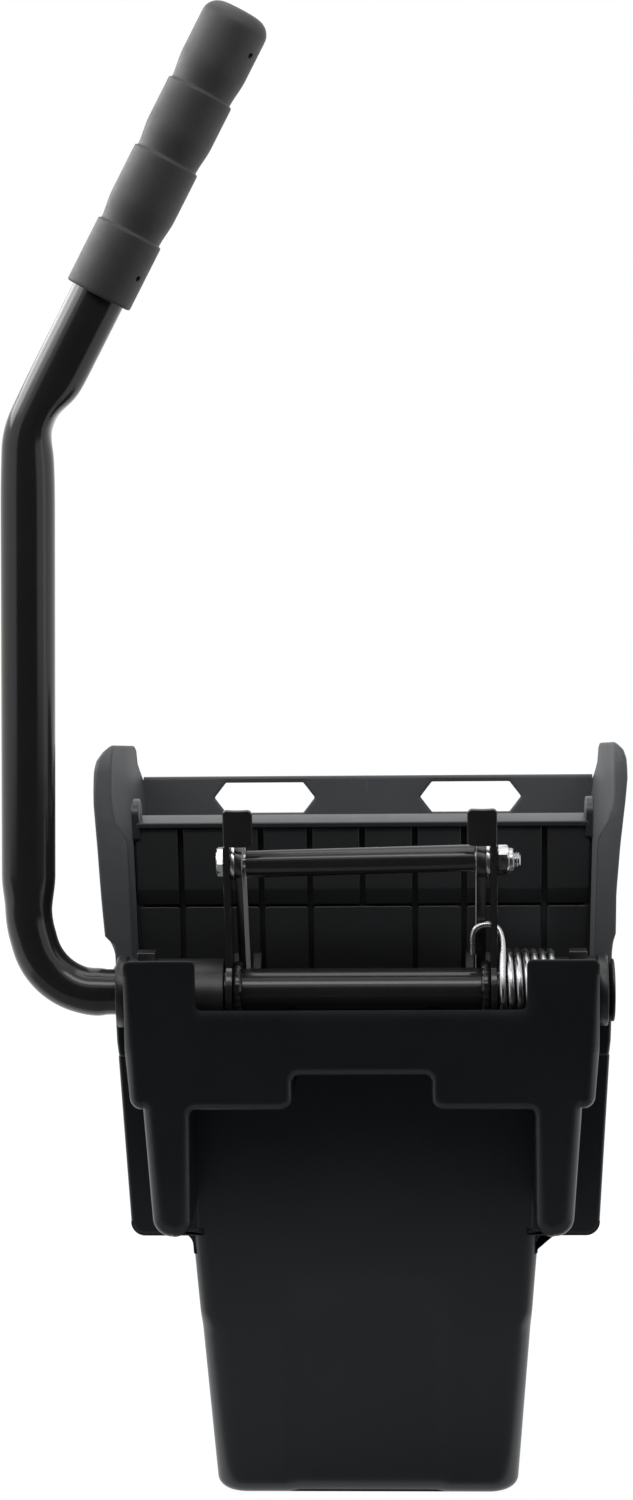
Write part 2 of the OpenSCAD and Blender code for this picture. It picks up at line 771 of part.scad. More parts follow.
module hinge_rod() {
    reach = basket_half_low + basket_slope_share * hinge_z - basket_slope_share * knuckle_r;
    color([0.6, 0.6, 0.62])
        translate([-reach, -hinge_y, hinge_z])
            rotate([0, quarter_turn, 0])
                cylinder(r = rod_r, h = reach * 2);
}

// Straight run of the tube along its own axis, lapped over the bends at its ends
module tube_straight(r, low, high) {
    translate([0, 0, low])
        difference() {
            cylinder(r = r, h = high - low);
            translate([0, 0, -overrun])
                cylinder(r = r - tube_wall, h = high - low + overrun * 2);
        }
}

// Swaged step between two radii of the tube, with a straight run past each end
module tube_step(r_from, r_to, before, after) {
    rotate_extrude()
        polygon([
            [r_from - tube_wall, -before], [r_from, -before], [r_from, 0], [r_to, swage_length],
            [r_to, swage_length + after], [r_to - tube_wall, swage_length + after],
            [r_to - tube_wall, swage_length], [r_from - tube_wall, 0]]);
}

// Bend of the tube in its own plane, from one turn through another
module tube_bend(centre, bend_r, r, from, turn) {
    translate([centre[0], 0, centre[1]])
        rotate([quarter_turn, 0, 0])
            rotate([0, 0, from])
                rotate_extrude(angle = turn)
                    translate([bend_r, 0])
                        difference() {
                            circle(r = r - lap_inset);
                            circle(r = r - tube_wall + lap_inset);
                        }
}

module handle_tube() {
    color([0.04, 0.04, 0.042])
        translate([0, -shaft_y, 0])
            union() {
                translate([-bend_start_x, 0, shaft_z])
                    rotate([0, quarter_turn, 0])
                        tube_step(bend_tube_r, shaft_r, lap, shaft_end_x + bend_start_x - swage_length);
                tube_bend([-bend_start_x, shaft_z + bend_tight_r], bend_tight_r, bend_tube_r,
                    -quarter_turn - bend_tight_turn, bend_tight_turn);
                translate([tight_end[0], 0, tight_end[1]])
                    rotate([0, bend_tight_turn - quarter_turn, 0])
                        tube_straight(bend_tube_r, -lap, swage_length + lap);
                tube_bend(gentle_centre, bend_gentle_r, bend_tube_r, half_turn - handle_lean, gentle_turn);
                translate([gentle_end[0], 0, gentle_end[1]])
                    rotate([0, handle_lean, 0])
                        tube_step(bend_tube_r, tube_r, lap, straight_length - swage_length + lap);
                tube_bend(upper_centre, upper_bend_r, tube_r, half_turn - grip_lean, upper_turn);
                translate([upper_end[0], 0, upper_end[1]])
                    rotate([0, grip_lean, 0])
                        tube_straight(tube_r, -lap, grip_tube_length);
            }
}

module handle_grip() {
    top = grip_length;
    color([0.14, 0.14, 0.145])
        translate([upper_corner[0], -shaft_y, upper_corner[1]])
            rotate([0, grip_lean, 0])
                translate([0, 0, grip_start])
                    difference() {
                        rotate_extrude()
                            polygon(concat(
                                [[0, 0], [grip_r, 0], [grip_r, grip_steps[0]]],
                                [for (i = [0 : len(grip_steps) - 2], k = [0 : 2])
                                    [k == 0 ? grip_r - grip_step : grip_r,
                                        grip_steps[i] + (k == 1 ? grip_swell : 0)
                                        + (k == 2 ? grip_steps[i + 1] - grip_steps[i] : 0)]],
                                [[grip_r - grip_step, grip_steps[2]], [grip_r, grip_steps[2] + grip_swell]],
                                arc([grip_r - grip_end_r, top - grip_end_r], grip_end_r, 0, quarter_turn),
                                [[0, top]]));
                        translate([0, 0, -overrun])
                            cylinder(r = tube_r + grip_clearance,
                                h = tube_past_corner - grip_start + overrun + grip_clearance);
                        for (at = vent_at)
                            translate([0, 0, at])
                                rotate([0, 0, vent_turn])
                                    rotate([quarter_turn, 0, 0])
                                        cylinder(r = vent_r, h = grip_r + overrun);
                    }
}

module shaft_end_cap() {
    color([0.05, 0.05, 0.055])
        translate([shaft_end_x, -shaft_y, shaft_z])
            rotate([0, quarter_turn, 0])
                rotate_extrude()
                    polygon([
                        [0, -plug_length], [shaft_r - tube_wall - seat_clearance, -plug_length],
                        [shaft_r - tube_wall - seat_clearance, 0], [cap_neck_r, 0],
                        [cap_r, cap_thick - cap_rim], [cap_r, cap_thick],
                        [shaft_r - tube_wall, cap_thick], [cap_neck_r / 2, cap_thick - cap_rim],
                        [0, cap_thick - cap_rim]]);
}

// Crank arm for the right side, in a frame that stands at the shaft and leans with the crank
module crank_arm(hook) {
    difference() {
        union() {
            across(arm_inner_x, arm_outer_x)
                union() {
                    circle(r = arm_eye_r);
                    translate([-arm_half, 0])
                        square([arm_half * 2, tab_low]);
                    translate([-arm_half, tab_low])
                        square([arm_thick, tab_high - tab_low]);
                }
            translate([tab_inner_x, -arm_half, tab_low])
                cube([arm_outer_x - tab_inner_x, arm_thick, tab_high - tab_low]);
        }
        rotate([0, quarter_turn, 0])
            cylinder(r = shaft_r, h = far);
        translate([0, 0, crank_r])
            rotate([0, quarter_turn, 0])
                cylinder(r = bolt_r + bolt_clearance, h = far);
        if (hook)
            translate([0, 0, hook_hole_at])
                rotate([0, quarter_turn, 0])
                    cylinder(r = hook_hole_r, h = far);
    }
}

// Frame that stands at the shaft and leans with the crank
module at_crank() {
    translate([0, -shaft_y, shaft_z])
        rotate([crank_lean, 0, 0])
            children();
}

module left_crank_arm() {
    color([0.05, 0.05, 0.052])
        at_crank()
            mirror([1, 0, 0])
                crank_arm(false);
}

module right_crank_arm() {
    color([0.05, 0.05, 0.052])
        at_crank()
            crank_arm(true);
}

module arm_welds() {
    color([0.08, 0.08, 0.08])
        translate([0, -shaft_y, shaft_z])
            both()
                rotate([0, quarter_turn, 0])
                    rotate_extrude()
                        polygon([
                            [shaft_r, arm_inner_x], [shaft_r, arm_inner_x - weld_length],
                            [shaft_r + weld_toe, arm_inner_x - weld_length], [weld_r, arm_inner_x]]);
}

// Frame that lies along the pivot bolt
module at_pivot() {
    translate([0, crank_point[0], crank_point[1]])
        rotate([0, quarter_turn, 0])
            children();
}

module pivot_bolt() {
    color([0.75, 0.75, 0.76])
        at_pivot() {
            translate([0, 0, -arm_outer_x - side_play])
                cylinder(r = bolt_r, h = bolt_end_x + arm_outer_x + side_play);
            translate([0, 0, -arm_outer_x - side_play - head_thick])
                rotate([0, 0, half_turn / hex_sides])
                    cylinder(r = hex_flats / 2 / cos(half_turn / hex_sides), h = head_thick, $fn = hex_sides);
        }
}

module lock_nut() {
    color([0.75, 0.75, 0.76])
        at_pivot()
            translate([0, 0, arm_outer_x + side_play])
                difference() {
                    union() {
                        rotate([0, 0, half_turn / hex_sides])
                            cylinder(r = hex_flats / 2 / cos(half_turn / hex_sides), h = nut_hex_thick,
                                $fn = hex_sides);
                        cylinder(r = nut_collar_r, h = nut_hex_thick + nut_collar_thick);
                    }
                    translate([0, 0, -overrun])
                        cylinder(r = bolt_r + pin_clearance, h = nut_hex_thick + overrun * 2);
                    translate([0, 0, nut_hex_thick])
                        cylinder(r = insert_r + seat_clearance, h = nut_collar_thick + overrun);
                }
}

module nut_insert() {
    color([0.85, 0.85, 0.82])
        at_pivot()
            translate([0, 0, arm_outer_x + side_play + nut_hex_thick + pin_clearance])
                difference() {
                    cylinder(r = insert_r, h = nut_collar_thick - pin_clearance * 2);
                    translate([0, 0, -overrun])
                        cylinder(r = bolt_r + pin_clearance, h = nut_collar_thick + overrun * 2);
                }
}

module bolt_washers() {
    color([0.78, 0.78, 0.79])
        at_pivot()
            for (z = [-washer_x - washer_thick, washer_x])
                translate([0, 0, z])
                    difference() {
                        cylinder(r = washer_r, h = washer_thick);
                        translate([0, 0, -overrun])
                            cylinder(r = bolt_r + bolt_clearance, h = washer_thick + overrun * 2);
                    }
}

module spacer_tube() {
    reach = link_inner_x - spacer_gap;
    color([0.05, 0.05, 0.052])
        translate([0, crank_point[0], crank_point[1]])
            rotate([0, quarter_turn - spacer_tilt, 0])
                translate([0, 0, -reach])
                    difference() {
                        cylinder(r = spacer_r, h = reach * 2);
                        translate([0, 0, -overrun])
                            cylinder(r = spacer_bore_r, h = reach * 2 + overrun * 2);
                    }
}

// Right link, drawn from the pivot bolt to its pin
module link() {
    translate([0, crank_point[0], crank_point[1]])
        rotate([link_angle, 0, 0])
            across(link_inner_x, link_outer_x)
                difference() {
                    union() {
                        circle(r = link_eye_r);
                        translate([link_length, 0])
                            circle(r = link_half);
                        translate([0, -link_half])
                            square([link_length, link_half * 2]);
                    }
                    circle(r = bolt_r + bolt_clearance);
                    translate([link_length, 0])
                        circle(r = pin_r + pin_clearance);
                }
}

module left_link() {
    color([0.07, 0.07, 0.072])
        mirror([1, 0, 0])
            link();
}

module right_link() {
    color([0.07, 0.07, 0.072])
        link();
}

module link_pins() {
    start = lug_inner_x - side_play - clip_thick - pin_tail;
    end = lug_outer_x + lug_thick + side_play + clip_thick + pin_tail;
    color([0.7, 0.7, 0.71])
        both()
            translate([start, pin_point[0], pin_point[1]])
                rotate([0, quarter_turn, 0])
                    cylinder(r = pin_r, h = end - start);
}

module pin_clips() {
    color([0.7, 0.7, 0.71])
        both()
            for (x = [lug_inner_x - side_play - clip_thick, lug_outer_x + lug_thick + side_play])
                translate([x, pin_point[0], pin_point[1]])
                    rotate([0, quarter_turn, 0])
                        difference() {
                            cylinder(r = clip_r, h = clip_thick);
                            translate([0, 0, -overrun])
                                cylinder(r = pin_r + pin_clearance, h = clip_thick + overrun * 2);
                        }
}

// Half width of the plate's wide part at a height
function plate_half(t) =
    plate_half_low + (plate_half_top - plate_half_low) * (t - plate_wide_low) / (plate_top - plate_wide_low);

// Outline of the whole plate seen from the front
module plate_outline() {
    polygon([
        [-knuckle_half, 0], [knuckle_half, 0], [plate_narrow_high, plate_wide_low],
        [plate_half_low, plate_wide_low], [plate_half_top, plate_top], [-plate_half_top, plate_top],
        [-plate_half_low, plate_wide_low], [-plate_narrow_high, plate_wide_low]]);
}

// Right side flange of the plate with its rounded ear
module plate_ear() {
    intersection() {
        along(-far, far)
            polygon([
                [plate_half_low - ear_thick, plate_wide_low], [plate_half_low, plate_wide_low],
                [plate_half(plate_top + ear_rise), plate_top + ear_rise],
                [plate_half(plate_top + ear_rise) - ear_thick, plate_top + ear_rise]]);
        across(-far, far)
            polygon(concat(
                [[-flange_front, plate_wide_low], [flange_back, plate_wide_low]],
                arc([0, plate_top + ear_rise - flange_back], flange_back, 0, quarter_turn),
                arc([flange_back - flange_front, plate_top + ear_rise - flange_back], flange_back, quarter_turn,
                    half_turn)));
    }
}

// Pair of slotted lugs for the right link pin, in the row frame
module lug_pair() {
    difference() {
        for (x = [lug_inner_x, lug_outer_x])
            translate([0, -hinge_y, hinge_z])
                rotate([plate_lean, 0, 0])
                    across(x, x + lug_thick)
                        polygon([
                            [0, pin_t - lug_half * 2], [-tile_low_front, pin_t - lug_half * 2],
                            [-lug_front, pin_t - lug_half], [-lug_front, pin_t + lug_half],
                            [-tile_low_front, pin_t + lug_half * 2], [0, pin_t + lug_half * 2]]);
        translate([0, pin_point[0], pin_point[1]])
            rotate([slot_rise, 0, 0])
                across(0, far)
                    union() {
                        circle(r = pin_r + slot_clearance);
                        translate([slot_travel, 0])
                            circle(r = pin_r + slot_clearance);
                        translate([0, -pin_r - slot_clearance])
                            square([slot_travel, (pin_r + slot_clearance) * 2]);
                    }
    }
}

// Slab with its two rows of tiles, flanges and pressing ribs, standing at the hinge
module plate_slab() {
    difference() {
        union() {
            along(-tile_low_front, slab_back)
                plate_outline();
            intersection() {
                along(-far, far)
                    plate_outline();
                across(-far, far)
                    polygon([
                        [-tile_low_front, crease_t], [-tile_high_front, crease_t + crease_slope],
                        [-tile_high_front, plate_top], [0, plate_top], [0, crease_t]]);
            }
            along(-flange_front, flange_back)
                polygon([
                    [-plate_half(plate_top - flange_high), plate_top - flange_high],
                    [plate_half(plate_top - flange_high), plate_top - flange_high],
                    [plate_half_top, plate_top], [-plate_half_top, plate_top]]);
            both()
                plate_ear();
            for (x = press_rib_x)
                translate([x - press_rib_width / 2, 0, plate_wide_low + press_rib_margin[0]])
                    cube([press_rib_width, slab_back + press_rib_proud,
                        plate_top - plate_wide_low - press_rib_margin[0] - press_rib_margin[1]]);
            rotate([0, quarter_turn, 0])
                translate([0, 0, -knuckle_half])
                    cylinder(r = knuckle_r, h = knuckle_half * 2);
        }
        for (x = groove_x)
            translate([x - groove_width / 2, -far, plate_wide_low + flange_high])
                cube([groove_width, far + groove_depth - tile_high_front,
                    plate_top - plate_wide_low - flange_high * 2]);
        translate([-groove_width / 2, -far, crease_t])
            cube([groove_width, far + groove_depth - tile_high_front, plate_top - crease_t - flange_high]);
        translate([-plate_half_low, -far, crease_t - crease_width])
            cube([plate_half_low * 2, far - tile_low_front + crease_depth, crease_width]);
    }
}

module press_plate() {
    color([0.055, 0.055, 0.06])
        difference() {
            union() {
                translate([0, -hinge_y, hinge_z])
                    rotate([plate_lean, 0, 0])
                        plate_slab();
                both()
                    lug_pair();
            }
            translate([-far, -hinge_y, hinge_z])
                rotate([0, quarter_turn, 0])
                    cylinder(r = rod_r + rod_clearance, h = far * 2);
        }
}

// Points of a cubic curve through two ends and their handles, without its first point
function curve(a, b, c, d) =
    [for (i = [1 : curl_rings]) let (s = i / curl_rings, q = 1 - s)
        a * pow(q, cubic) + b * cubic * s * q * q + c * cubic * s * s * q + d * pow(s, cubic)];

// Point of the coil at a turn
function coil_point(turn) =
    [coil_start_x + coil_pitch * (turn - hook_leave) / full_turn, -shaft_y + coil_r * cos(turn),
        shaft_z + coil_r * sin(turn)];

// Direction of the coil at a turn, leaving out its slow advance along the shaft
function coil_way(turn) = [0, -sin(turn), cos(turn)];

hook_handle = (hook_crown_z - hook_turn_z) * hook_handle_share;
fixed_turn = fixed_leave + full_turn * coil_turns;
hook_free = [hook_end_x, -hook_y, hook_end_z];
hook_rise = [hook_end_x, -hook_y, hook_turn_z];
hook_crown = [hook_crown_x, -hook_y, hook_crown_z];
coil_steps = coil_rings * coil_turns;
wire_path = concat(
    [hook_free, (hook_free + hook_rise) / 2, hook_rise],
    curve(hook_rise, hook_rise + [0, 0, hook_handle], hook_crown - [hook_handle, 0, 0], hook_crown),
    curve(hook_crown, hook_crown + [hook_reach, 0, 0],
        coil_point(hook_leave) - hook_run * coil_way(hook_leave), coil_point(hook_leave)),
    [for (i = [1 : coil_steps]) coil_point(hook_leave + (fixed_turn - hook_leave) * i / coil_steps)],
    [for (i = [1 : leg_steps]) coil_point(fixed_turn) + fixed_leg * i / leg_steps * coil_way(fixed_turn)]);
wire_count = len(wire_path);
wire_way = [for (i = [0 : wire_count - 1])
    let (d = wire_path[min(i + 1, wire_count - 1)] - wire_path[max(i - 1, 0)])
    d / norm(d)];

// Direction square to the wire that is carried along it ring by ring
function carried(side, way) = let (d = side - (side * way) * way) d / norm(d);
function wire_sides_from(i, side) =
    i == wire_count ? [] : let (s = carried(side, wire_way[i])) concat([s], wire_sides_from(i + 1, s));
wire_side = wire_sides_from(0, [0, 1, 0]);
wire_points = [for (i = [0 : wire_count - 1], k = [0 : wire_sides - 1])
    wire_path[i] + wire_r * (cos(full_turn * k / wire_sides) * wire_side[i]
        + sin(full_turn * k / wire_sides) * cross(wire_way[i], wire_side[i]))];
wire_faces = concat(
    [for (k = [1 : wire_sides - 2]) [0, k, k + 1]],
    [for (i = [0 : wire_count - 2], k = [0 : wire_sides - 1], h = [0, 1])
        let (m = (k + 1) % wire_sides, a = i * wire_sides, b = a + wire_sides)
        h == 0 ? [a + k, b + k, b + m] : [a + k, b + m, a + m]],
    [for (k = [1 : wire_sides - 2]) let (a = (wire_count - 1) * wire_sides) [a, a + k + 1, a + k]]);
wire_gap = min([for (i = [0 : wire_count - 1], j = [i + coil_rings / 2 : wire_count - 1])
    norm(wire_path[i] - wire_path[j])]) - wire_r * 2;
echo(least_gap_between_turns = wire_gap);

module return_spring() {
    color([0.78, 0.78, 0.8])
        polyhedron(points = wire_points, faces = wire_faces);
}

wringer_body();
left_bushing();
right_bushing();
hinge_rod();
handle_tube();
handle_grip();
shaft_end_cap();
left_crank_arm();
right_crank_arm();
arm_welds();
pivot_bolt();
lock_nut();
nut_insert();
bolt_washers();
spacer_tube();
left_link();
right_link();
link_pins();
pin_clips();
press_plate();
return_spring();
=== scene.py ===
import bmesh
import bpy
import numpy as np
from mathutils import Matrix


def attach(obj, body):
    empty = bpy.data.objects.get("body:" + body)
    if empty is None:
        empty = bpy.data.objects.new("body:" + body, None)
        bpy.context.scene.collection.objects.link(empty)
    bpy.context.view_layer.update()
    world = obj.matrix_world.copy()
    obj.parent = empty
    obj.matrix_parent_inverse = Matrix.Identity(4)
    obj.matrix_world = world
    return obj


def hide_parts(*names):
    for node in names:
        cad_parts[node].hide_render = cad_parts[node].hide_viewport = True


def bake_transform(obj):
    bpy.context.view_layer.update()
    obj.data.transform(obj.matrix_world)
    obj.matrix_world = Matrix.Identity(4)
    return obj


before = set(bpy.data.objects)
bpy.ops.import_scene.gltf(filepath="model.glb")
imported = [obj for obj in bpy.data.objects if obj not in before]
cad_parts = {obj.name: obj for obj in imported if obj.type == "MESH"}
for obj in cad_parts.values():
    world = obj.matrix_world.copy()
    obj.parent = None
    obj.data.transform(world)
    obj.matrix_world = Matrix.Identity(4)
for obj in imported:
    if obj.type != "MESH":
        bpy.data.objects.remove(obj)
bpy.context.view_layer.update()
MM = 0.001
QUARTER = np.pi / 2
SIDES = (1.0, -1.0)

# Sizes of the wringer's own pieces in millimetres, the same as its solids have.
SHAFT = np.array([0.0, -76.0, 263.0])
SHAFT_R, BEND_TUBE_R, TUBE_R = 11.1, 11.7, 13.0
BEND_START_X, SHAFT_END_X = -128.3, 119.0
TIGHT_R, TIGHT_TURN = 31.6, np.radians(75.7)
GENTLE_R, HANDLE_LEAN = 50.0, np.radians(1.2)
UPPER_CORNER_Z, UPPER_R, GRIP_LEAN = 533.0, 32.0, np.radians(28.1)
SWAGE, TUBE_PAST_CORNER = 5.0, 216.6
GRIP_START, GRIP_LENGTH, GRIP_R, GRIP_END_R = 74.6, 148.0, 16.4, 8.0
GRIP_STEPS = [0.0, 33.0, 71.0, 106.0, GRIP_LENGTH - GRIP_END_R]
VENTS, VENT_TURN, VENT_DEPTH = (15.5, 131.0), np.radians(60.0), 2.4
VENT_FINE = np.linspace(-2.0, 2.0, 33)
CRANK_R, CRANK_LEAN, CRANK_EYE_R = 66.0, np.radians(8.0), 17.0
PIVOT = SHAFT + CRANK_R * np.array([0.0, -np.sin(CRANK_LEAN), np.cos(CRANK_LEAN)])
ARM_INNER_X, ARM_OUTER_X = 62.3, 65.5
BOLT_R, HEX_FLAT, HEAD_THICK, THREAD_START, THREAD_PITCH = 4.0, 6.5, 3.6, 58.0, 1.25
HEX_CORNER = HEX_FLAT / np.cos(np.pi / 6)
NUT_HEX, NUT_COLLAR, NUT_COLLAR_R, BOLT_TAIL = 5.6, 2.2, 5.9, 3.4
WIRE_R, COIL_R, COIL_PITCH, COIL_START_X = 1.7, 18.6, 4.06, 67.7
HOOK_LEAVE, FIXED_LEAVE, COIL_TURNS, FIXED_LEG = 150.85, 165.0, 6, 22.0
WALL, BACK_WALL, BACK_FOOT_Y, RIM_Z = 4.0, 4.04, 51.0, 344.5
BACK_SLOPE = (104.0 - BACK_FOOT_Y) / RIM_Z
SHOULDER_Z, BASKET_LOW, BASKET_HIGH = 136.5, 75.8, 86.3
HINGE_Y, HINGE_Z, PLATE_LEAN = -6.0, 24.0, np.radians(5.5)
PLATE_TOP, CREASE_T, PIN_AT = 320.0, 276.5, np.array([-18.5, 224.0])
GROOVES, GROOVE_HALF = [-90.0, -50.2, -26.0, 26.0, 50.2, 90.0], 1.35


# Points and surfaces.

def rounded(values, start, end):
    """Smooth step from 0 to 1 as the values pass from start to end."""
    t = np.clip((values - start) / (end - start), 0.0, 1.0)
    return t * t * (3.0 - 2.0 * t)


def unit(rows):
    """Rows brought to unit length."""
    rows = np.asarray(rows, float)
    return rows / np.linalg.norm(rows, axis=-1, keepdims=True)


def circle(count):
    """Angles spaced evenly round a full turn."""
    return np.linspace(0.0, 2.0 * np.pi, count, endpoint=False)


def rays(angle):
    """Unit directions (cosine, sine) at the angles."""
    return np.stack([np.cos(angle), np.sin(angle)], axis=-1)


def columns(*parts):
    """Rows of coordinates from arrays or numbers that are spread over one another."""
    return np.stack(np.broadcast_arrays(*parts), axis=-1)


def along_line(line, share):
    """Points at shares of the length of a flat line of points."""
    line = np.asarray(line, float)
    length = np.concatenate([[0.0], np.cumsum(np.linalg.norm(np.diff(line, axis=0), axis=1))])
    return columns(*(np.interp(share * length[-1], length, line[:, axis]) for axis in (0, 1)))


def resampled(line, count):
    """Flat line of points spaced evenly along its length."""
    return along_line(line, np.linspace(0.0, 1.0, count))


def swung(place, lean, y, z):
    """Places given upright about the origin, leaned to the front about an axis across the part through (y, z)."""
    cos, sin = np.cos(lean), np.sin(lean)
    return columns(place[:, 0], y + place[:, 1] * cos - place[:, 2] * sin, z + place[:, 1] * sin + place[:, 2] * cos)


def placed(name, data):
    """New object at the origin of the scene."""
    piece = bpy.data.objects.new(name, data)
    bpy.context.scene.collection.objects.link(piece)
    return piece


def shade_smooth(mesh):
    """Smooth shading on every face."""
    mesh.polygons.foreach_set("use_smooth", np.ones(len(mesh.polygons), bool))


def outward(piece):
    """Turns every face of a closed skin outwards."""
    work = bmesh.new()
    work.from_mesh(piece.data)
    bmesh.ops.recalc_face_normals(work, faces=work.faces)
    work.to_mesh(piece.data)
    work.free()


def skin(name, points, faces):
    """Closed skin from points in millimetres and faces as index rows, shaded smooth."""
    mesh = bpy.data.meshes.new(name)
    mesh.from_pydata((np.asarray(points, float).reshape(-1, 3) * MM).tolist(), [], faces)
    mesh.validate()
    mesh.update()
    shade_smooth(mesh)
    piece = placed(name, mesh)
    outward(piece)
    return piece


def ring_faces(rings, count, closed):
    """Four-sided faces between neighbouring rings of a grid; when closed, the last ring also meets the first."""
    i, j = np.meshgrid(np.arange(rings if closed else rings - 1), np.arange(count), indexing="ij")
    k, m = (j + 1) % count, (i + 1) % rings
    return columns(i * count + j, i * count + k, m * count + k, m * count + j).reshape(-1, 4).tolist()


def capped_skin(name, grid):
    """Skin over a grid of rings: row i is a ring along the piece, and each end is closed with one flat face."""
    rings, count = grid.shape[:2]
    ends = [list(range(count))[::-1], list(range((rings - 1) * count, rings * count))]
    return skin(name, grid, ring_faces(rings, count, False) + ends)


def closed_skin(name, grid):
    """Skin over a grid that closes on itself both ways."""
    return skin(name, grid, ring_faces(*grid.shape[:2], True))


def stacked(rows, axis):
    """Grid of rings: each row is a ring of flat points and its place on the axis that they lack."""
    return np.stack([np.insert(flat, axis, depth, axis=1) for flat, depth in rows])


def joined(name, pieces):
    """One piece made of several skins."""
    work = bmesh.new()
    for piece in pieces:
        work.from_mesh(piece.data)
        bpy.data.objects.remove(piece)
    mesh = bpy.data.meshes.new(name)
    work.to_mesh(mesh)
    work.free()
    shade_smooth(mesh)
    return placed(name, mesh)


def keep_creases(piece, degrees):
    """Marks edges sharper than an angle, so that flat faces stay flat under smooth shading."""
    piece.data.set_sharp_from_angle(angle=np.radians(degrees))


def moved(piece, change):
    """Piece with its points put through a change of place, both in millimetres."""
    place = np.empty(len(piece.data.vertices) * 3)
    piece.data.vertices.foreach_get("co", place)
    place = change(place.reshape(-1, 3) / MM) * MM
    piece.data.vertices.foreach_set("co", place.ravel())
    piece.data.update()
    outward(piece)
    return piece


def filleted(corners):
    """Outline from rows of (x, z, radius, ...): straight runs with an arc of its radius in each corner. Gives the
    points, the outward directions and, for each point, the rest of its corner's row."""
    points, outs, rest = [], [], []
    for i, row in enumerate(corners):
        here, r = np.array(row[:2], float), float(row[2])
        back = unit(np.array(corners[i - 1][:2]) - here)
        on = unit(np.array(corners[(i + 1) % len(corners)][:2]) - here)
        half = 0.5 * np.arccos(np.clip(back @ on, -1.0, 1.0))
        middle = (back + on) / max(np.linalg.norm(back + on), 1e-9)
        centre = here + middle * r / np.sin(half)
        first = here + back * r / np.tan(half) - centre
        last = here + on * r / np.tan(half) - centre
        start = np.arctan2(first[1], first[0])
        sweep = (np.arctan2(last[1], last[0]) - start + np.pi) % (2.0 * np.pi) - np.pi
        ray = rays(start + sweep * np.linspace(0.0, 1.0, 5 + int(abs(sweep) * (2.0 + r))))
        if abs(sweep) < 1e-6:
            ray, sweep, r = np.array([[on[1], -on[0]]]), 1.0, 0.0
        points.append(centre + r * ray)
        outs.append(np.sign(sweep) * ray)
        rest.append(np.repeat([row[3:]], len(ray), axis=0))
    return np.concatenate(points), np.concatenate(outs), np.concatenate(rest)


def mirrored(half):
    """Whole outline from the corners of its right half, which run anticlockwise from the lower end to the upper."""
    return list(half) + [(-row[0],) + tuple(row[1:]) for row in reversed(half)]


def inset_rings(points, outs, rows):
    """Grid of rings: each row is an (inset, depth) pair that draws the outline in and sets it back."""
    return stacked([(points - outs * np.broadcast_to(inset, len(points))[:, None], depth)
                    for inset, depth in rows], 1)


def round_over(r, start, direction):
    """Rows of a quarter round from a face at the start depth over to the side of the outline."""
    return [(r * (1.0 - np.sin(a)), start + direction * r * (1.0 - np.cos(a))) for a in np.linspace(0.0, QUARTER, 6)]


def rounded_prism(name, corners, near, far, r):
    """Outline drawn out from near to far with its edges rounded by r at both ends."""
    points, outs, _ = filleted(corners)
    rows = [(r + 0.6, near)] + round_over(r, near, 1.0) + round_over(r, far, -1.0)[::-1] + [(r + 0.6, far)]
    return capped_skin(name, inset_rings(points, outs, rows))


def sideways_prism(name, corners, near, far, r):
    """Outline of (y, z, radius) rows drawn out along x from near to far with rounded edges."""
    return moved(rounded_prism(name, corners, near, far, r), lambda place: place[:, [1, 0, 2]])


# Materials.

def set_inputs(node, **values):
    """Sets a node's own sockets; an underscore in a name stands for a blank."""
    for label, value in values.items():
        node.inputs[label.replace("_", " ")].default_value = value


def socket_group(name, inputs, outputs):
    """New shader group with named sockets, and its two ends."""
    group = bpy.data.node_groups.new(name, "ShaderNodeTree")
    for label, kind, value in inputs:
        socket = group.interface.new_socket(name=label, in_out="INPUT", socket_type="NodeSocket" + kind)
        if value is not None:
            socket.default_value = value
    for label in outputs:
        group.interface.new_socket(name=label, in_out="OUTPUT", socket_type="NodeSocketFloat")
    return group, group.nodes.new("NodeGroupInput").outputs, group.nodes.new("NodeGroupOutput").inputs


def feed(tree, socket, value):
    """Gives a socket a plain number, or links another socket to it."""
    if isinstance(value, (int, float)):
        socket.default_value = value
    else:
        tree.links.new(value, socket)


def math_node(tree, operation, a, b, clamp=False):
    """Math node fed by sockets or plain numbers."""
    node = tree.nodes.new("ShaderNodeMath")
    node.operation = operation
    node.use_clamp = clamp
    feed(tree, node.inputs[0], a)
    feed(tree, node.inputs[1], b)
    return node.outputs[0]


def noise_node(tree, vector, scale, detail, roughness=0.5):
    """Noise texture on a vector, with its scale from a socket or a number."""
    node = tree.nodes.new("ShaderNodeTexNoise")
    tree.links.new(vector, node.inputs["Vector"])
    feed(tree, node.inputs["Scale"], scale)
    set_inputs(node, Detail=detail, Roughness=roughness)
    return node.outputs["Fac"]


def moulded_grain_group():
    """Fine moulded texture: a small grain for the bump, a slow drift for the tone and one for the gloss."""
    group, start, end = socket_group(
        "moulded_grain",
        [("Vector", "Vector", None), ("Grain Scale", "Float", 900.0), ("Drift Scale", "Float", 9.0)],
        ["Height", "Tone", "Gloss"])
    finer_drift = math_node(group, "MULTIPLY", start["Drift Scale"], 3.3)
    group.links.new(noise_node(group, start["Vector"], start["Grain Scale"], 2.0), end["Height"])
    group.links.new(noise_node(group, start["Vector"], start["Drift Scale"], 4.0, 0.6), end["Tone"])
    group.links.new(noise_node(group, start["Vector"], finer_drift, 5.0, 0.65), end["Gloss"])
    return group


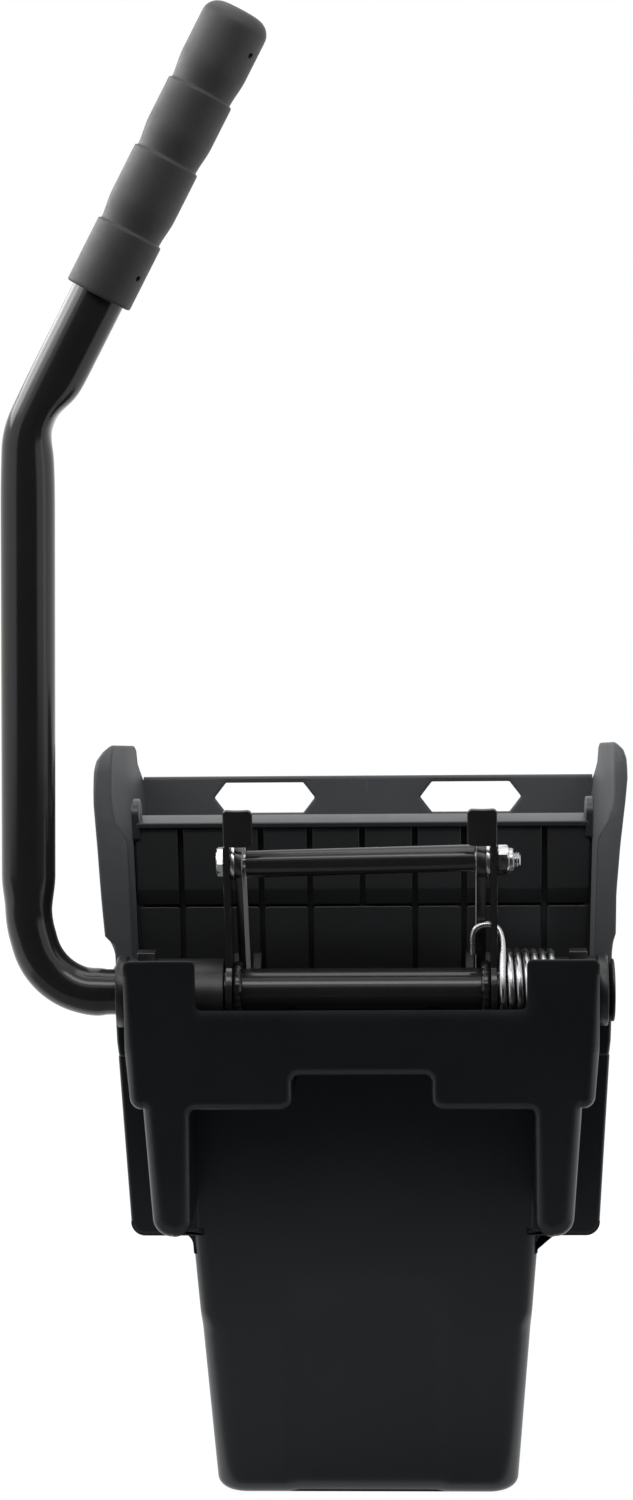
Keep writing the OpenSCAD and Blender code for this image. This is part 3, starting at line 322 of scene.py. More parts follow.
def faint_scuffs_group():
    """Sparse thin rubs: the crests of a stretched noise, broken up by a slower one."""
    group, start, end = socket_group(
        "faint_scuffs",
        [("Vector", "Vector", None), ("Stretch", "Vector", (240.0, 240.0, 26.0)), ("Amount", "Float", 0.3)], ["Mask"])
    mapping = group.nodes.new("ShaderNodeMapping")
    group.links.new(start["Vector"], mapping.inputs["Vector"])
    group.links.new(start["Stretch"], mapping.inputs["Scale"])
    streak = noise_node(group, mapping.outputs["Vector"], 1.0, 3.0, 0.7)
    patch = noise_node(group, start["Vector"], 14.0, 2.0)
    crest = math_node(group, "MULTIPLY", math_node(group, "SUBTRACT", streak, 0.62), 7.0, clamp=True)
    spread = math_node(group, "MULTIPLY", math_node(group, "SUBTRACT", patch, 0.5), 5.0, clamp=True)
    both = math_node(group, "MULTIPLY", crest, spread)
    group.links.new(math_node(group, "MULTIPLY", both, start["Amount"]), end["Mask"])
    return group


GRAIN = moulded_grain_group()
SCUFFS = faint_scuffs_group()


def group_node(tree, group, place, **values):
    """Shared effect in a material, on a place, with its own values."""
    node = tree.nodes.new("ShaderNodeGroup")
    node.node_tree = group
    set_inputs(node, **values)
    tree.links.new(place, node.inputs["Vector"])
    return node.outputs


def finish(name, tone, gloss, grain, scuffs, metallic=0.0, coat=0.0, coat_roughness=0.1, ior=1.47, specular=0.5,
           sheen=(1.0, 1.0, 1.0)):
    """Finish of one of the wringer's materials.
    tone: dark colour, light colour. gloss: least and most roughness. grain: scale, drift scale, bump strength,
    bump distance. scuffs: stretch, amount, colour of a rub. sheen: tint of what it mirrors."""
    material = bpy.data.materials.new(name)
    material.use_nodes = True
    tree = material.node_tree
    shader = tree.nodes["Principled BSDF"]
    place = tree.nodes.new("ShaderNodeTexCoord").outputs["Object"]
    moulded = group_node(tree, GRAIN, place, Grain_Scale=grain[0], Drift_Scale=grain[1])
    rubbed = group_node(tree, SCUFFS, place, Stretch=scuffs[0], Amount=scuffs[1])

    ramp = tree.nodes.new("ShaderNodeValToRGB")
    for element, position, colour in zip(ramp.color_ramp.elements, (0.3, 0.7), tone):
        element.position, element.color = position, (*colour, 1.0)
    tree.links.new(moulded["Tone"], ramp.inputs["Fac"])
    mix = tree.nodes.new("ShaderNodeMix")
    mix.data_type = "RGBA"
    plain, rub = [socket for socket in mix.inputs if socket.type == "RGBA"]
    rub.default_value = (*scuffs[2], 1.0)
    tree.links.new(ramp.outputs["Color"], plain)
    tree.links.new(rubbed["Mask"], mix.inputs["Factor"])
    tree.links.new([socket for socket in mix.outputs if socket.type == "RGBA"][0], shader.inputs["Base Color"])

    spread = tree.nodes.new("ShaderNodeMapRange")
    set_inputs(spread, From_Min=0.3, From_Max=0.7, To_Min=gloss[0], To_Max=gloss[1])
    tree.links.new(moulded["Gloss"], spread.inputs["Value"])
    rough = math_node(tree, "ADD", spread.outputs["Result"], math_node(tree, "MULTIPLY", rubbed["Mask"], 0.3))
    tree.links.new(rough, shader.inputs["Roughness"])

    bump = tree.nodes.new("ShaderNodeBump")
    set_inputs(bump, Strength=grain[2], Distance=grain[3])
    tree.links.new(moulded["Height"], bump.inputs["Height"])
    tree.links.new(bump.outputs["Normal"], shader.inputs["Normal"])
    set_inputs(shader, Metallic=metallic, IOR=ior, Specular_IOR_Level=specular, Specular_Tint=(*sheen, 1.0),
               Coat_Weight=coat, Coat_Roughness=coat_roughness)
    return material


COOL = (0.86, 0.94, 1.0)
LONG_RUBS, FINE_RUBS = (210.0, 210.0, 24.0), (420.0, 60.0, 420.0)
BODY = finish("body_moulding", ((0.0062, 0.0067, 0.0074), (0.0084, 0.0089, 0.0097)), (0.30, 0.37),
              (1500.0, 7.0, 0.10, 0.0004), (LONG_RUBS, 0.18, (0.05, 0.05, 0.052)), ior=1.54, sheen=COOL)
# Second body finish for the hopper's cheeks, back wall and ribs. Its roughness and grain are real, but its colour is
# set far lighter than the body's as painted light, standing in for the light from above that falls on these upper
# walls.
TEXTURED_WITH_PAINTED_LIGHT = finish("textured_moulding_painted_light", ((0.076, 0.0785, 0.084), (0.097, 0.100, 0.106)), (0.50, 0.58),
                  (1300.0, 7.0, 0.16, 0.0005), (LONG_RUBS, 0.18, (0.15, 0.15, 0.155)), specular=0.25, sheen=COOL)
PLATE = finish("plate_moulding", ((0.028, 0.0287, 0.030), (0.034, 0.0348, 0.0362)), (0.30, 0.38),
               (1500.0, 9.0, 0.10, 0.0004), (LONG_RUBS, 0.22, (0.05, 0.05, 0.052)), sheen=COOL)
BUSHING = finish("bushing_moulding", ((0.012, 0.012, 0.013), (0.018, 0.018, 0.019)), (0.34, 0.44),
                 (1700.0, 30.0, 0.08, 0.0003), (FINE_RUBS, 0.2, (0.06, 0.06, 0.06)))
PAINT = finish("handle_paint", ((0.016, 0.016, 0.0162), (0.021, 0.021, 0.0212)), (0.14, 0.19),
               (420.0, 16.0, 0.04, 0.00006), (FINE_RUBS, 0.25, (0.05, 0.05, 0.05)), coat=0.08, coat_roughness=0.14,
               specular=0.4)
LINK_PAINT = finish("link_paint", ((0.010, 0.010, 0.0102), (0.016, 0.016, 0.0163)), (0.28, 0.40),
                    (500.0, 22.0, 0.05, 0.00008), (FINE_RUBS, 0.5, (0.10, 0.10, 0.10)), coat=0.2, coat_roughness=0.25)
# Brighter, part-metal finish that goes only on the links' inner faces while the rest of each link keeps the dark
# paint: a painted highlight for the light that these faces catch.
LINK_FACE_PAINTED_HIGHLIGHT = finish("link_face_painted_highlight", ((0.60, 0.60, 0.61), (0.72, 0.72, 0.73)), (0.50, 0.60),
                   (500.0, 22.0, 0.05, 0.00008), (FINE_RUBS, 0.5, (0.30, 0.30, 0.30)), metallic=0.6)
VINYL = finish("grip_vinyl", ((0.030, 0.030, 0.0305), (0.040, 0.040, 0.0405)), (0.46, 0.56),
               (2400.0, 22.0, 0.22, 0.0004), (LONG_RUBS, 0.15, (0.10, 0.10, 0.10)))
ZINC = finish("zinc_plate", ((0.40, 0.40, 0.41), (0.52, 0.52, 0.53)), (0.20, 0.34),
              (900.0, 60.0, 0.06, 0.0003), (FINE_RUBS, 0.5, (0.35, 0.35, 0.36)), metallic=1.0)
WIRE = finish("spring_wire", ((0.38, 0.38, 0.39), (0.50, 0.50, 0.51)), (0.22, 0.34),
              (1300.0, 80.0, 0.06, 0.0002), (FINE_RUBS, 0.5, (0.30, 0.30, 0.31)), metallic=1.0)
NYLON = finish("insert_nylon", ((0.62, 0.62, 0.58), (0.72, 0.72, 0.68)), (0.45, 0.55),
               (1500.0, 40.0, 0.05, 0.0002), (FINE_RUBS, 0.1, (0.5, 0.5, 0.48)))


def dress(piece, material, body, slot, *nodes):
    """Gives a new piece its finish, its body and the solids that it stands for."""
    if len(piece.data.materials):
        piece.data.materials.clear()
    piece.data.materials.append(material)
    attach(piece, body)
    if nodes:
        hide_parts(*nodes)
    return piece


# Moulded body: one piece of smooth skins.

def housing_skin():
    """Shaft housing with its two pillars: the front outline with soft edges, drawn back to the hopper below and at
    the sides and hollow behind. The notch and the towers' tops are free edges of the front wall that fall away."""
    front, free, deep = -106.0, -101.8, -58.0
    full, part, brief = QUARTER, 0.7, 0.5
    # Corners of the right half: x, z, radius, then the rounding's inset, depth and turn, and where the side ends.
    half = [
        (33.0, 227.4, 3.0, 4.4, 4.0, full, deep), (33.0, 210.5, 6.5, 4.4, 4.0, full, deep),
        (82.6, 210.5, 3.0, 4.4, 4.0, full, deep), (83.0, 147.5, 8.5, 6.0, 5.0, full, deep),
        (101.0, 147.5, 9.5, 7.0, 6.0, full, deep), (105.3, 210.5, 0.4, 6.0, 6.0, full, deep),
        (111.2, 210.5, 6.3, 5.2, 5.0, full, deep), (113.5, 240.0, 40.0, 5.5, 3.6, 1.1, deep),
        (113.5, 276.4, 0.05, 3.0, 1.0, part, deep), (113.5, 276.6, 0.05, 3.0, 1.0, part, free),
        (113.5, 284.0, 3.4, 1.8, 0.45, brief, free), (79.0, 284.0, 2.8, 1.6, 0.4, brief, free),
        (79.0, 259.5, 3.0, 8.0, 1.3, brief, free)]
    points, outs, rest = filleted(mirrored(half))
    inset, depth, turn, back = rest.T
    rows = [(inset + 0.8, front)]
    rows += [(inset * (1.0 - np.sin(share * turn) / np.sin(turn)),
              front + depth * (1.0 - np.cos(share * turn)) / (1.0 - np.cos(turn)))
             for share in np.linspace(0.0, 1.0, 10)]
    at_free_edge = back == free
    fall, reach = np.where(at_free_edge, 1.2, 0.0), np.where(at_free_edge, 1.9, WALL)
    rows += [(0.9 * fall, back - 0.4), (0.35 + fall, back), (reach - 0.3, back), (reach, back - 0.1),
             (reach, front + WALL), (reach + 0.4, front + WALL)]
    return capped_skin("housing_skin", inset_rings(points, outs, rows))


def front_wall_y(z):
    """Depth of the front wall at a height: it leans out from the floor and stands upright above the shoulder."""
    return -55.0 - 7.6 * (1.0 - (1.0 - np.clip(z / 190.0, 0.0, 1.0)) ** 1.55)


def back_wall_y(z):
    """Depth of the leaning back wall's inner face at a height."""
    return BACK_FOOT_Y + BACK_SLOPE * z


def slab_skin(name, z, half, y, thick, count):
    """Slab across the part: half widths and depths of its face at heights, and the same again behind."""
    face = columns(half[:, None] * np.linspace(-1.0, 1.0, count), y[:, None], z[:, None])
    return capped_skin(name, np.concatenate([face, face[:, ::-1] + [0.0, thick, 0.0]], axis=1))


def front_wall_skin():
    """Front wall above the lower basket, up behind the housing, with a tongue that laps behind the basket's front."""
    z = np.concatenate([np.linspace(118.0, 139.6, 8), np.linspace(140.0, 232.0, 20)])
    return slab_skin("front_wall_skin", z, np.where(z < 139.8, 72.0, 104.0), front_wall_y(z) + 0.02, WALL, 30)


def back_wall_skin():
    """Lower part of the leaning back wall: a slab between the cheeks, from the shoulder up to the hand holes."""
    z = np.linspace(137.0, 296.0, 12)
    half = np.interp(z, [137.0, 150.0, 235.0, 296.0], [105.0, 112.5, 118.0, 121.0])
    return slab_skin("back_wall_skin", z, half, back_wall_y(z), BACK_WALL, 24)


def basket_ring(z, inset):
    """Ring round the lower basket at a height, drawn in by an inset: long straight front with a shallow recess in the
    middle, corners that grow softer below, straight sides and back."""
    half_x = BASKET_LOW + (BASKET_HIGH - BASKET_LOW) * z / SHOULDER_Z - inset
    front, back = front_wall_y(z) + inset, back_wall_y(z) + 4.0 - inset
    r = max(8.5 + 5.0 * (1.0 - rounded(z, 84.0, 97.0)) - 0.7 * inset, 1.5)
    right, near, far = half_x - r, front + r, back - r
    x = np.concatenate([np.linspace(-right, -45.0, 12), np.linspace(-44.0, -32.0, 26), np.linspace(-30.0, 30.0, 14),
                        np.linspace(32.0, 44.0, 26), np.linspace(45.0, right, 12)])
    recess = 1.5 * (1.0 - rounded(np.abs(x), 33.0, 43.0)) * (1.0 - rounded(z, 86.0, 118.0))
    turn = np.linspace(0.0, QUARTER, 12)[1:-1]
    sides = np.linspace(near, far, 14)

    def corner(middle_x, middle_y, quarter):
        return [middle_x, middle_y] + r * rays(turn + quarter * QUARTER)

    ring = np.concatenate([
        columns(x, front + (recess if inset < 3.0 else 0.0)), corner(right, near, -1),
        columns(half_x, sides), corner(right, far, 0),
        columns(np.linspace(right, -right, 20), back), corner(-right, far, 1),
        columns(-half_x, sides[::-1]), corner(-right, near, 2)])
    return columns(ring[:, 0], ring[:, 1], z)


def basket_skin():
    """Lower basket: rings lofted from the rounded underside up the outside, over the top and down the inside, closed
    on itself under the floor."""
    foot_r, top = 6.0, SHOULDER_Z + 3.6
    outside = np.concatenate([np.linspace(8.0, 80.0, 19), np.linspace(82.0, 114.0, 24), np.linspace(117.0, top, 8)])
    rows = [(0.3, 9.0), (0.0, 7.0)]
    rows += [(foot_r - foot_r * np.cos(a), foot_r - foot_r * np.sin(a)) for a in np.linspace(0.0, QUARTER, 9)]
    rows += [(z, 0.0) for z in outside] + [(z, WALL) for z in np.linspace(top, 5.0, 16)] + [(4.9, 9.0)]
    return closed_skin("basket_skin", np.array([basket_ring(z, inset) for z, inset in rows]))


def border(x0, y0, x1, y1, per_side=16):
    """Points round a rectangle, the same count on each side, from its lower left corner."""
    corners = np.array([(x0, y0), (x1, y0), (x1, y1), (x0, y1), (x0, y0)])
    share = np.linspace(0.0, 1.0, per_side, endpoint=False)[:, None]
    return np.concatenate([a + (b - a) * share for a, b in zip(corners[:-1], corners[1:])])


def floor_skins():
    """Floor of the basket from sixteen cells: each is a slab with a round drain hole whose edges are rounded."""
    top, under = 5.0, 0.15
    drain = [(4.7, top), (4.2, 4.8), (4.0, 4.3), (4.0, 0.9), (4.2, 0.35), (4.7, under)]
    xs, holes_x = [-67.5, -43.0, 0.0, 43.0, 67.5], [-54.0, -32.0, 32.0, 54.0]
    ys, holes_y = [-48.0, -24.0, 0.0, 24.0, 48.0], [-36.0, -12.0, 12.0, 36.0]
    pieces = []
    for x0, x1, x in zip(xs[:-1], xs[1:], holes_x):
        for y0, y1, y in zip(ys[:-1], ys[1:], holes_y):
            edge = border(x0, y0, x1, y1)
            ray = unit(edge - [x, y])
            rows = [(edge, top)] + [([x, y] + r * ray, z) for r, z in drain] + [(edge, under)]
            pieces.append(closed_skin("floor_cell", stacked(rows, 2)))
    return pieces


def hand_hole_skin(side):
    """Half of the back wall's top with its hexagonal hand hole: rings from the hole's rounded edge out to the border
    of the half, in front and behind, leaning with the wall. The left half stands a hair behind the right one."""
    hole_x, hole_z, corner_r = 56.0, 333.0, 1.2
    x0, x1, z0, z1 = -56.6, 66.0, 296.0 - hole_z, RIM_Z - hole_z
    right_half = [(21.0, -8.2, corner_r), (27.4, 0.0, corner_r), (21.0, 8.2, corner_r)]
    corners = mirrored(right_half)
    hole, outs, _ = filleted(corners[1:] + corners[:1])
    across, up = rays(np.arctan2(hole[:, 1], hole[:, 0])).T
    reach = np.minimum(np.where(across > 0.0, x1, -x0) / np.maximum(np.abs(across), 1e-6),
                       np.where(up > 0.0, z1, -z0) / np.maximum(np.abs(up), 1e-6))
    edge = columns(reach * across, reach * up)
    for corner in ((x0, z0), (x1, z0), (x1, z1), (x0, z1)):
        edge[np.argmin(np.linalg.norm(edge - corner, axis=1))] = corner
    inset = np.where(edge[:, 1] > z1 - 0.01, 1.4, 0.0)[:, None] * [0.0, 1.0]
    rim = edge - inset
    front = [(rim, 0.0), (rim - 0.02 * edge, 0.0), (hole + outs * 2.0, 0.0), (hole + outs * 1.1, 0.0),
             (hole + outs * 0.35, 0.25), (hole, 0.9)]
    behind = [(flat, BACK_WALL - depth) for flat, depth in reversed(front)]
    over = [(edge - 0.3 * inset, BACK_WALL - 0.4), (edge, BACK_WALL - 1.4), (edge, 1.4), (edge - 0.3 * inset, 0.4)]
    x, depth, z = np.moveaxis(stacked(front + behind + over, 1), -1, 0)
    z = hole_z + z
    y = back_wall_y(z) + depth + 0.03 * (1.0 - side)
    return closed_skin("hand_hole_skin", columns(side * (hole_x + x), y, z))


def back_rib_skin(x):
    """Upright rib on the inside of the back wall with sloping ends and rounded edges."""
    rows = [(-2.0, 150.0, 0.3), (-2.0, 300.0, 0.3), (0.0, 300.0, 0.3), (4.0, 296.0, 1.2), (4.0, 154.0, 1.2),
            (0.0, 150.0, 0.3)]
    outline = [(back_wall_y(z) - off, z, r) for off, z, r in rows]
    return sideways_prism("back_rib", outline, x - 3.0, x + 3.0, 0.25)


CHEEK_Z = [130.0, 143.5, 235.0, 300.0, 326.0, 336.0, 346.0, 354.0, 366.0, 400.0]
CHEEK_OUT = [115.4, 116.2, 121.5, 123.5, 124.4, 125.4, 127.2, 128.3, 128.5, 128.5]
CHEEK_FOOT_Z, CHEEK_FRONT_Y, BOW_START_Z = 142.0, -52.0, 282.0
RIM_HEIGHTS = [282.0, 306.0, 330.0, 352.0, 362.0, 367.5, 372.0, 375.5, 377.0]
RIM_REACH = {1.0: [124.6, 125.0, 127.2, 130.2, 131.4, 131.4, 131.3, 130.4, 128.6],
             -1.0: [127.4, 129.4, 131.2, 133.4, 133.6, 133.6, 132.8, 130.6, 128.6]}


def cheek_edges():
    """Front, top, bottom and back edges of a cheek as lines of (y, z): the front is straight, then bows back into the
    upper corner's arc; the top runs from there to the round rear corner and down to the back wall's rim."""
    def arc(y, z, r, start, end):
        return [y, z] + r * rays(np.radians(np.linspace(start, end, 24)))

    bow_r, corner_r, bow_turn = 220.0, 20.0, np.radians(22.0)
    bow_y = CHEEK_FRONT_Y + bow_r
    corner_y = bow_y - (bow_r - corner_r) * np.cos(bow_turn)
    corner_z = BOW_START_Z + (bow_r - corner_r) * np.sin(bow_turn)
    foot = [(CHEEK_FRONT_Y, CHEEK_FOOT_Z), (back_wall_y(CHEEK_FOOT_Z) + 4.05, CHEEK_FOOT_Z)]
    rear = (back_wall_y(RIM_Z) + BACK_WALL, RIM_Z)
    front = [foot[:1], arc(bow_y, BOW_START_Z, bow_r, 180.0, 158.0),
             arc(corner_y, corner_z, corner_r, 158.0, 124.0)[1:]]
    top = [arc(corner_y, corner_z, corner_r, 124.0, 90.0), arc(86.0, 354.0, 10.0, 84.0, 0.0), [rear]]
    return (resampled(np.concatenate(front), 600), resampled(np.concatenate(top), 500), np.array(foot),
            np.array([foot[1], rear]))


def edge_drop(gap, r):
    """How far a face falls near an edge rounded by r, at a gap from that edge."""
    return r * (1.0 - np.sqrt(np.clip(1.0 - (1.0 - np.clip(gap / r, 0.0, 1.0)) ** 2, 0.0, 1.0)))


def cheek_skin(side):
    """One side of the hopper with its cheek: a patch stretched between the bottom, front, top and back edges of its
    outline. Its outer and inner faces are heights over that patch: the wall draws in downwards, flares at the top and
    grows an outward rim along the front edge, which fades out round the upper corner, and a bead inside."""
    front, top, bottom, back = cheek_edges()
    depth, height, fine = 150.0, 236.0, 28.0
    near = np.array([0.0, 0.25, 0.6, 1.1, 1.8, 2.7, 3.6, 4.4, 4.9, 5.3, 5.7, 6.2, 7.0, 8.2, 10.0, 13.0, 17.0, 22.0])
    s = np.concatenate([near / depth, np.linspace(fine, depth, 16) / depth])
    t = np.concatenate([np.linspace(0.0, 1.0 - fine / height, 46), 1.0 - near[::-1] / height])
    ss, tt = s[None, :, None], t[:, None, None]
    patch = ((1 - tt) * along_line(bottom, s)[None] + tt * along_line(top, s)[None]
             + (1 - ss) * along_line(front, t)[:, None] + ss * along_line(back, t)[:, None]
             - (1 - ss) * (1 - tt) * bottom[0] - ss * (1 - tt) * bottom[1] - (1 - ss) * tt * front[-1]
             - ss * tt * back[1])
    y, z = patch[..., 0], patch[..., 1]
    line = np.concatenate([front, top])
    gaps = (y[..., None] - line[:, 0]) ** 2 + (z[..., None] - line[:, 1]) ** 2
    gap = np.sqrt(gaps.min(axis=-1))
    edge_y, edge_z = np.moveaxis(line[gaps.argmin(axis=-1)], -1, 0)

    wall = np.interp(z, CHEEK_Z, CHEEK_OUT)
    rim_reach = np.interp(edge_z, RIM_HEIGHTS, RIM_REACH[side])
    rim_reach = np.where(edge_y > -19.0, np.minimum(rim_reach, 124.5), rim_reach)
    rim = np.maximum(rim_reach - wall, 0.0) * rounded(z, 280.6, 283.4)
    outer = wall + rim * (1.0 - rounded(gap, 4.6, 5.9)) - edge_drop(gap, 1.6 + 1.8 * rounded(edge_z, 350.0, 372.0))
    bead = 4.8 * (1.0 - rounded(z, 331.0, 344.0)) * rounded(z, 262.0, 270.0) * (1.0 - rounded(gap, 2.5, 8.0))
    inner = wall - WALL - bead + edge_drop(gap, 1.3)

    rows, cols = y.shape
    count = rows * cols
    i, j = np.meshgrid(np.arange(rows - 1), np.arange(cols - 1), indexing="ij")
    first = (i * cols + j).reshape(-1, 1)
    face = first + [0, 1, cols + 1, cols]
    rim_line = np.concatenate([np.arange(cols), np.arange(1, rows) * cols + cols - 1,
                               (rows - 1) * cols + np.arange(cols - 2, -1, -1), np.arange(rows - 2, 0, -1) * cols])
    after = np.roll(rim_line, -1)
    strip = columns(rim_line, after, after + count, rim_line + count)
    return skin("cheek_skin", np.stack([columns(side * outer, y, z), columns(side * inner, y, z)]),
                np.concatenate([face, face + count, strip]).tolist())


# Flat walls beside the basket and the housing, as outlines of the right side drawn out in depth: the hollow round
# under the shoulder, the shoulder that rests on the bucket's rim, and the two panels that close the hopper's front.
# Rows are name, near and far ends, edge radius, outline of (x, z, corner radius).
SIDE_PANELS = (
    ("fillet_skin", -57.0, 70.0, 0.18, [(81.0, 138.5, 0.3), (81.0, 124.0, 0.3), (85.6, 126.0, 0.2),
                                        (86.4, 136.45, 6.5), (97.0, 136.45, 0.2), (97.0, 138.5, 0.3)]),
    ("ledge_skin", -62.0, 76.5, 0.28, [(80.0, 136.5, 0.3), (115.8, 136.5, 7.0), (116.3, 144.0, 0.3),
                                       (112.3, 144.0, 0.3), (111.8, 140.5, 3.2), (80.0, 140.5, 0.3)]),
    ("web_skin", -62.3, -49.0, 1.7, [(82.0, 138.0, 2.6), (115.8, 136.5, 7.5), (121.1, 229.5, 2.6),
                                     (82.0, 229.5, 2.6)]),
    ("web_skin", -63.0, -49.0, 1.7, [(104.0, 227.0, 2.6), (120.6, 227.0, 2.6), (121.5, 235.0, 4.0),
                                     (123.0, 283.0, 2.6), (113.0, 262.0, 3.0), (104.0, 262.0, 2.6)]))


def side_panels(side):
    """Flat walls of one side; those of the left are mirrored."""
    return [rounded_prism(name, [(side * x, z, corner_r) for x, z, corner_r in outline][::int(side)], near, far, r)
            for name, near, far, r, outline in SIDE_PANELS]


def textured(piece):
    """Piece whose faces take the second finish of the body: a grained moulding whose lighter colour is painted light.
    """
    piece.data.polygons.foreach_set("material_index", np.ones(len(piece.data.polygons), np.int32))
    return piece


# These pieces take the second finish: real grain, and a lighter colour that is painted light from above.
grained = [hand_hole_skin(side) for side in SIDES] + [back_wall_skin()] + [cheek_skin(side) for side in SIDES]
grained += [back_rib_skin(x) for x in (-70.0, -35.0, 0.0, 35.0, 70.0)]
body = joined("moulded_body", [housing_skin(), basket_skin(), front_wall_skin()] + side_panels(1.0)
              + side_panels(-1.0) + floor_skins() + [textured(piece) for piece in grained])
keep_creases(body, 32.0)
dress(body, BODY, "frame", "body_plastic", "wringer_body")
body.data.materials.append(TEXTURED_WITH_PAINTED_LIGHT)


# Press plate: built upright in its own frame (across, depth, height above the hinge), then leaned at the hinge.

def plate_half(t):
    """Half width of the plate's wide part at a height above the hinge: it grows upwards, less so near the top."""
    return np.interp(t, [126.0, 160.0, 232.0, 318.0, 330.0], [104.0, 106.2, 112.4, 113.9, 114.3])


def tile_spans(grooves, end):
    """Pairs of tile edges between grooves, out to the end on each side."""
    inner = sorted(grooves)
    return list(zip([-end] + [x + GROOVE_HALF for x in inner], [x - GROOVE_HALF for x in inner] + [end]))


def lower_tiles():
    """Lower row of tiles: flat pads with rounded edges between the grooves."""
    low, high, gap, corner_r = 134.0, CREASE_T - 1.0, 1.3, 1.6
    spans = zip(tile_spans(GROOVES, plate_half(low) - gap), tile_spans(GROOVES, plate_half(high) - gap))
    return [rounded_prism("lower_tile", [(x0, low, corner_r), (x1, low, corner_r), (u1, high, corner_r),
                                         (u0, high, corner_r)], -5.0, -0.8, 0.45)
            for (x0, x1), (u0, u1) in spans]


def upper_tiles():
    """Upper row of tiles: pads whose underside slopes back to the crease."""
    outline = [(-0.8, CREASE_T, 0.3), (-0.8, 317.0, 0.3), (-8.0, 317.0, 0.9), (-8.0, 285.5, 4.0),
               (-5.0, CREASE_T, 1.4)]
    return [sideways_prism("upper_tile", outline, x0, x1, 0.8)
            for x0, x1 in tile_spans(GROOVES + [0.0], plate_half(300.0) - 1.4)]


def side_ear(side):
    """Side flange with its rounded ear at the top, slanting with the plate's edge."""
    outline = [(-4.6, 126.5, 1.0), (7.8, 126.5, 2.0), (7.8, 232.0, 0.05), (7.8, 329.8, 7.6), (-9.8, 329.8, 7.6),
               (-9.8, 312.0, 1.5), (-4.6, 308.0, 2.0), (-4.6, 232.0, 0.05)]
    piece = sideways_prism("side_ear", outline, -3.9, -0.05, 0.7)
    return moved(piece, lambda p: columns(side * (plate_half(p[:, 2]) + p[:, 0]), p[:, 1], p[:, 2]))


def slot_edge(turn):
    """Slotted hole of the pin lugs as rays about its middle: a straight slot with round ends, 4 mm of travel."""
    r, half = 4.45, 2.0
    rise = np.radians(38.0) - PLATE_LEAN
    along, up = rays(turn - rise).T
    flat = r / np.maximum(np.abs(up), 1e-6)
    over = half * np.abs(along)
    end = over + np.sqrt(np.maximum(over ** 2 - half ** 2 + r ** 2, 0.0))
    reach = np.where(np.abs(flat * along) <= half, flat, end)
    middle = PIN_AT + half * rays(rise)
    return middle, middle + reach[:, None] * rays(turn)


def pin_lug(x0):
    """Lug that carries a link pin: a plate with a slotted hole, from the hole's edge out to the lug's outline."""
    x1, edge_r, hole_r = x0 + 4.0, 0.5, 0.4
    turn = circle(96)
    ray = rays(turn)
    middle, hole = slot_edge(turn)
    outline = np.array([(-0.2, 196.0), (-5.0, 196.0), (-26.0, 210.0), (-26.0, 238.0), (-5.0, 252.0), (-0.2, 252.0)])
    dense = resampled(np.concatenate([outline, outline[:1]]), 3000)
    angle = np.arctan2(dense[:, 1] - middle[1], dense[:, 0] - middle[0])
    pick = np.argmin(np.abs((turn[:, None] - angle[None, :] + np.pi) % (2 * np.pi) - np.pi), axis=1)
    edge = dense[pick]
    rows = [(hole + hole_r * ray, x0), (edge - edge_r * ray, x0), (edge, x0 + edge_r), (edge, x1 - edge_r),
            (edge - edge_r * ray, x1), (hole + hole_r * ray, x1), (hole, x1 - hole_r), (hole, x0 + hole_r)]
    return closed_skin("pin_lug", stacked(rows, 0))


def knuckle_skin():
    """Bored knuckle round the hinge rod: a profile of (radius, place across) rows turned about the hinge."""
    r, bore, half = 9.0, 4.08, 67.0
    rows = [(bore, -half + 0.5), (bore + 0.5, -half), (r - 0.8, -half), (r, -half + 0.8), (r, half - 0.8),
            (r - 0.8, half), (bore + 0.5, half), (bore, half - 0.5)]
    ring = rays(circle(48))[:, ::-1] * [-1.0, 1.0]
    return closed_skin("knuckle", stacked([(radius * ring, x) for radius, x in rows], 0))


def plate_skins():
    """All skins of the press plate: backing, foot, tiles, top flange, ears, pressing ribs, knuckle and pin lugs."""
    wide = mirrored([(103.9, 133.0, 1.5)] + [(plate_half(t) - 0.4, t, 1.5) for t in (232.0, 318.0)])
    foot = mirrored([(67.3, 5.0, 1.5), (71.9, 126.0, 3.0), (104.0, 126.0, 1.5), (104.3, 135.0, 1.5)])
    flange = [(-10.0, 317.2, 0.8), (8.0, 317.2, 0.8), (8.0, PLATE_TOP, 1.6), (-10.0, PLATE_TOP, 0.8)]
    pieces = [rounded_prism("backing", wide, -1.0, 2.0, 0.5), rounded_prism("plate_foot", foot, -5.0, 2.0, 0.5),
              sideways_prism("top_flange", flange, -111.5, 111.5, 0.4), knuckle_skin()]
    pieces += [side_ear(side) for side in SIDES]
    rib = mirrored([(3.5, 138.0, 2.2), (3.5, 302.0, 2.2)])
    for middle in (-78.0, -52.0, -26.0, 0.0, 26.0, 52.0, 78.0):
        pieces.append(rounded_prism("pressing_rib", [(middle + x, t, r) for x, t, r in rib], 1.5, 8.0, 1.2))
    return pieces + [pin_lug(x) for x in (-64.7, -54.9, 50.9, 60.7)] + lower_tiles() + upper_tiles()


def leaned(place):
    """Places in the plate's own frame turned to its lean at the hinge."""
    return swung(place, PLATE_LEAN, HINGE_Y, HINGE_Z)


plate = moved(joined("moulded_press_plate", plate_skins()), leaned)
keep_creases(plate, 32.0)
dress(plate, PLATE, "plate", "plate_plastic", "press_plate")


# Turned and cut pieces: merged copies of the solids with their edges rounded.

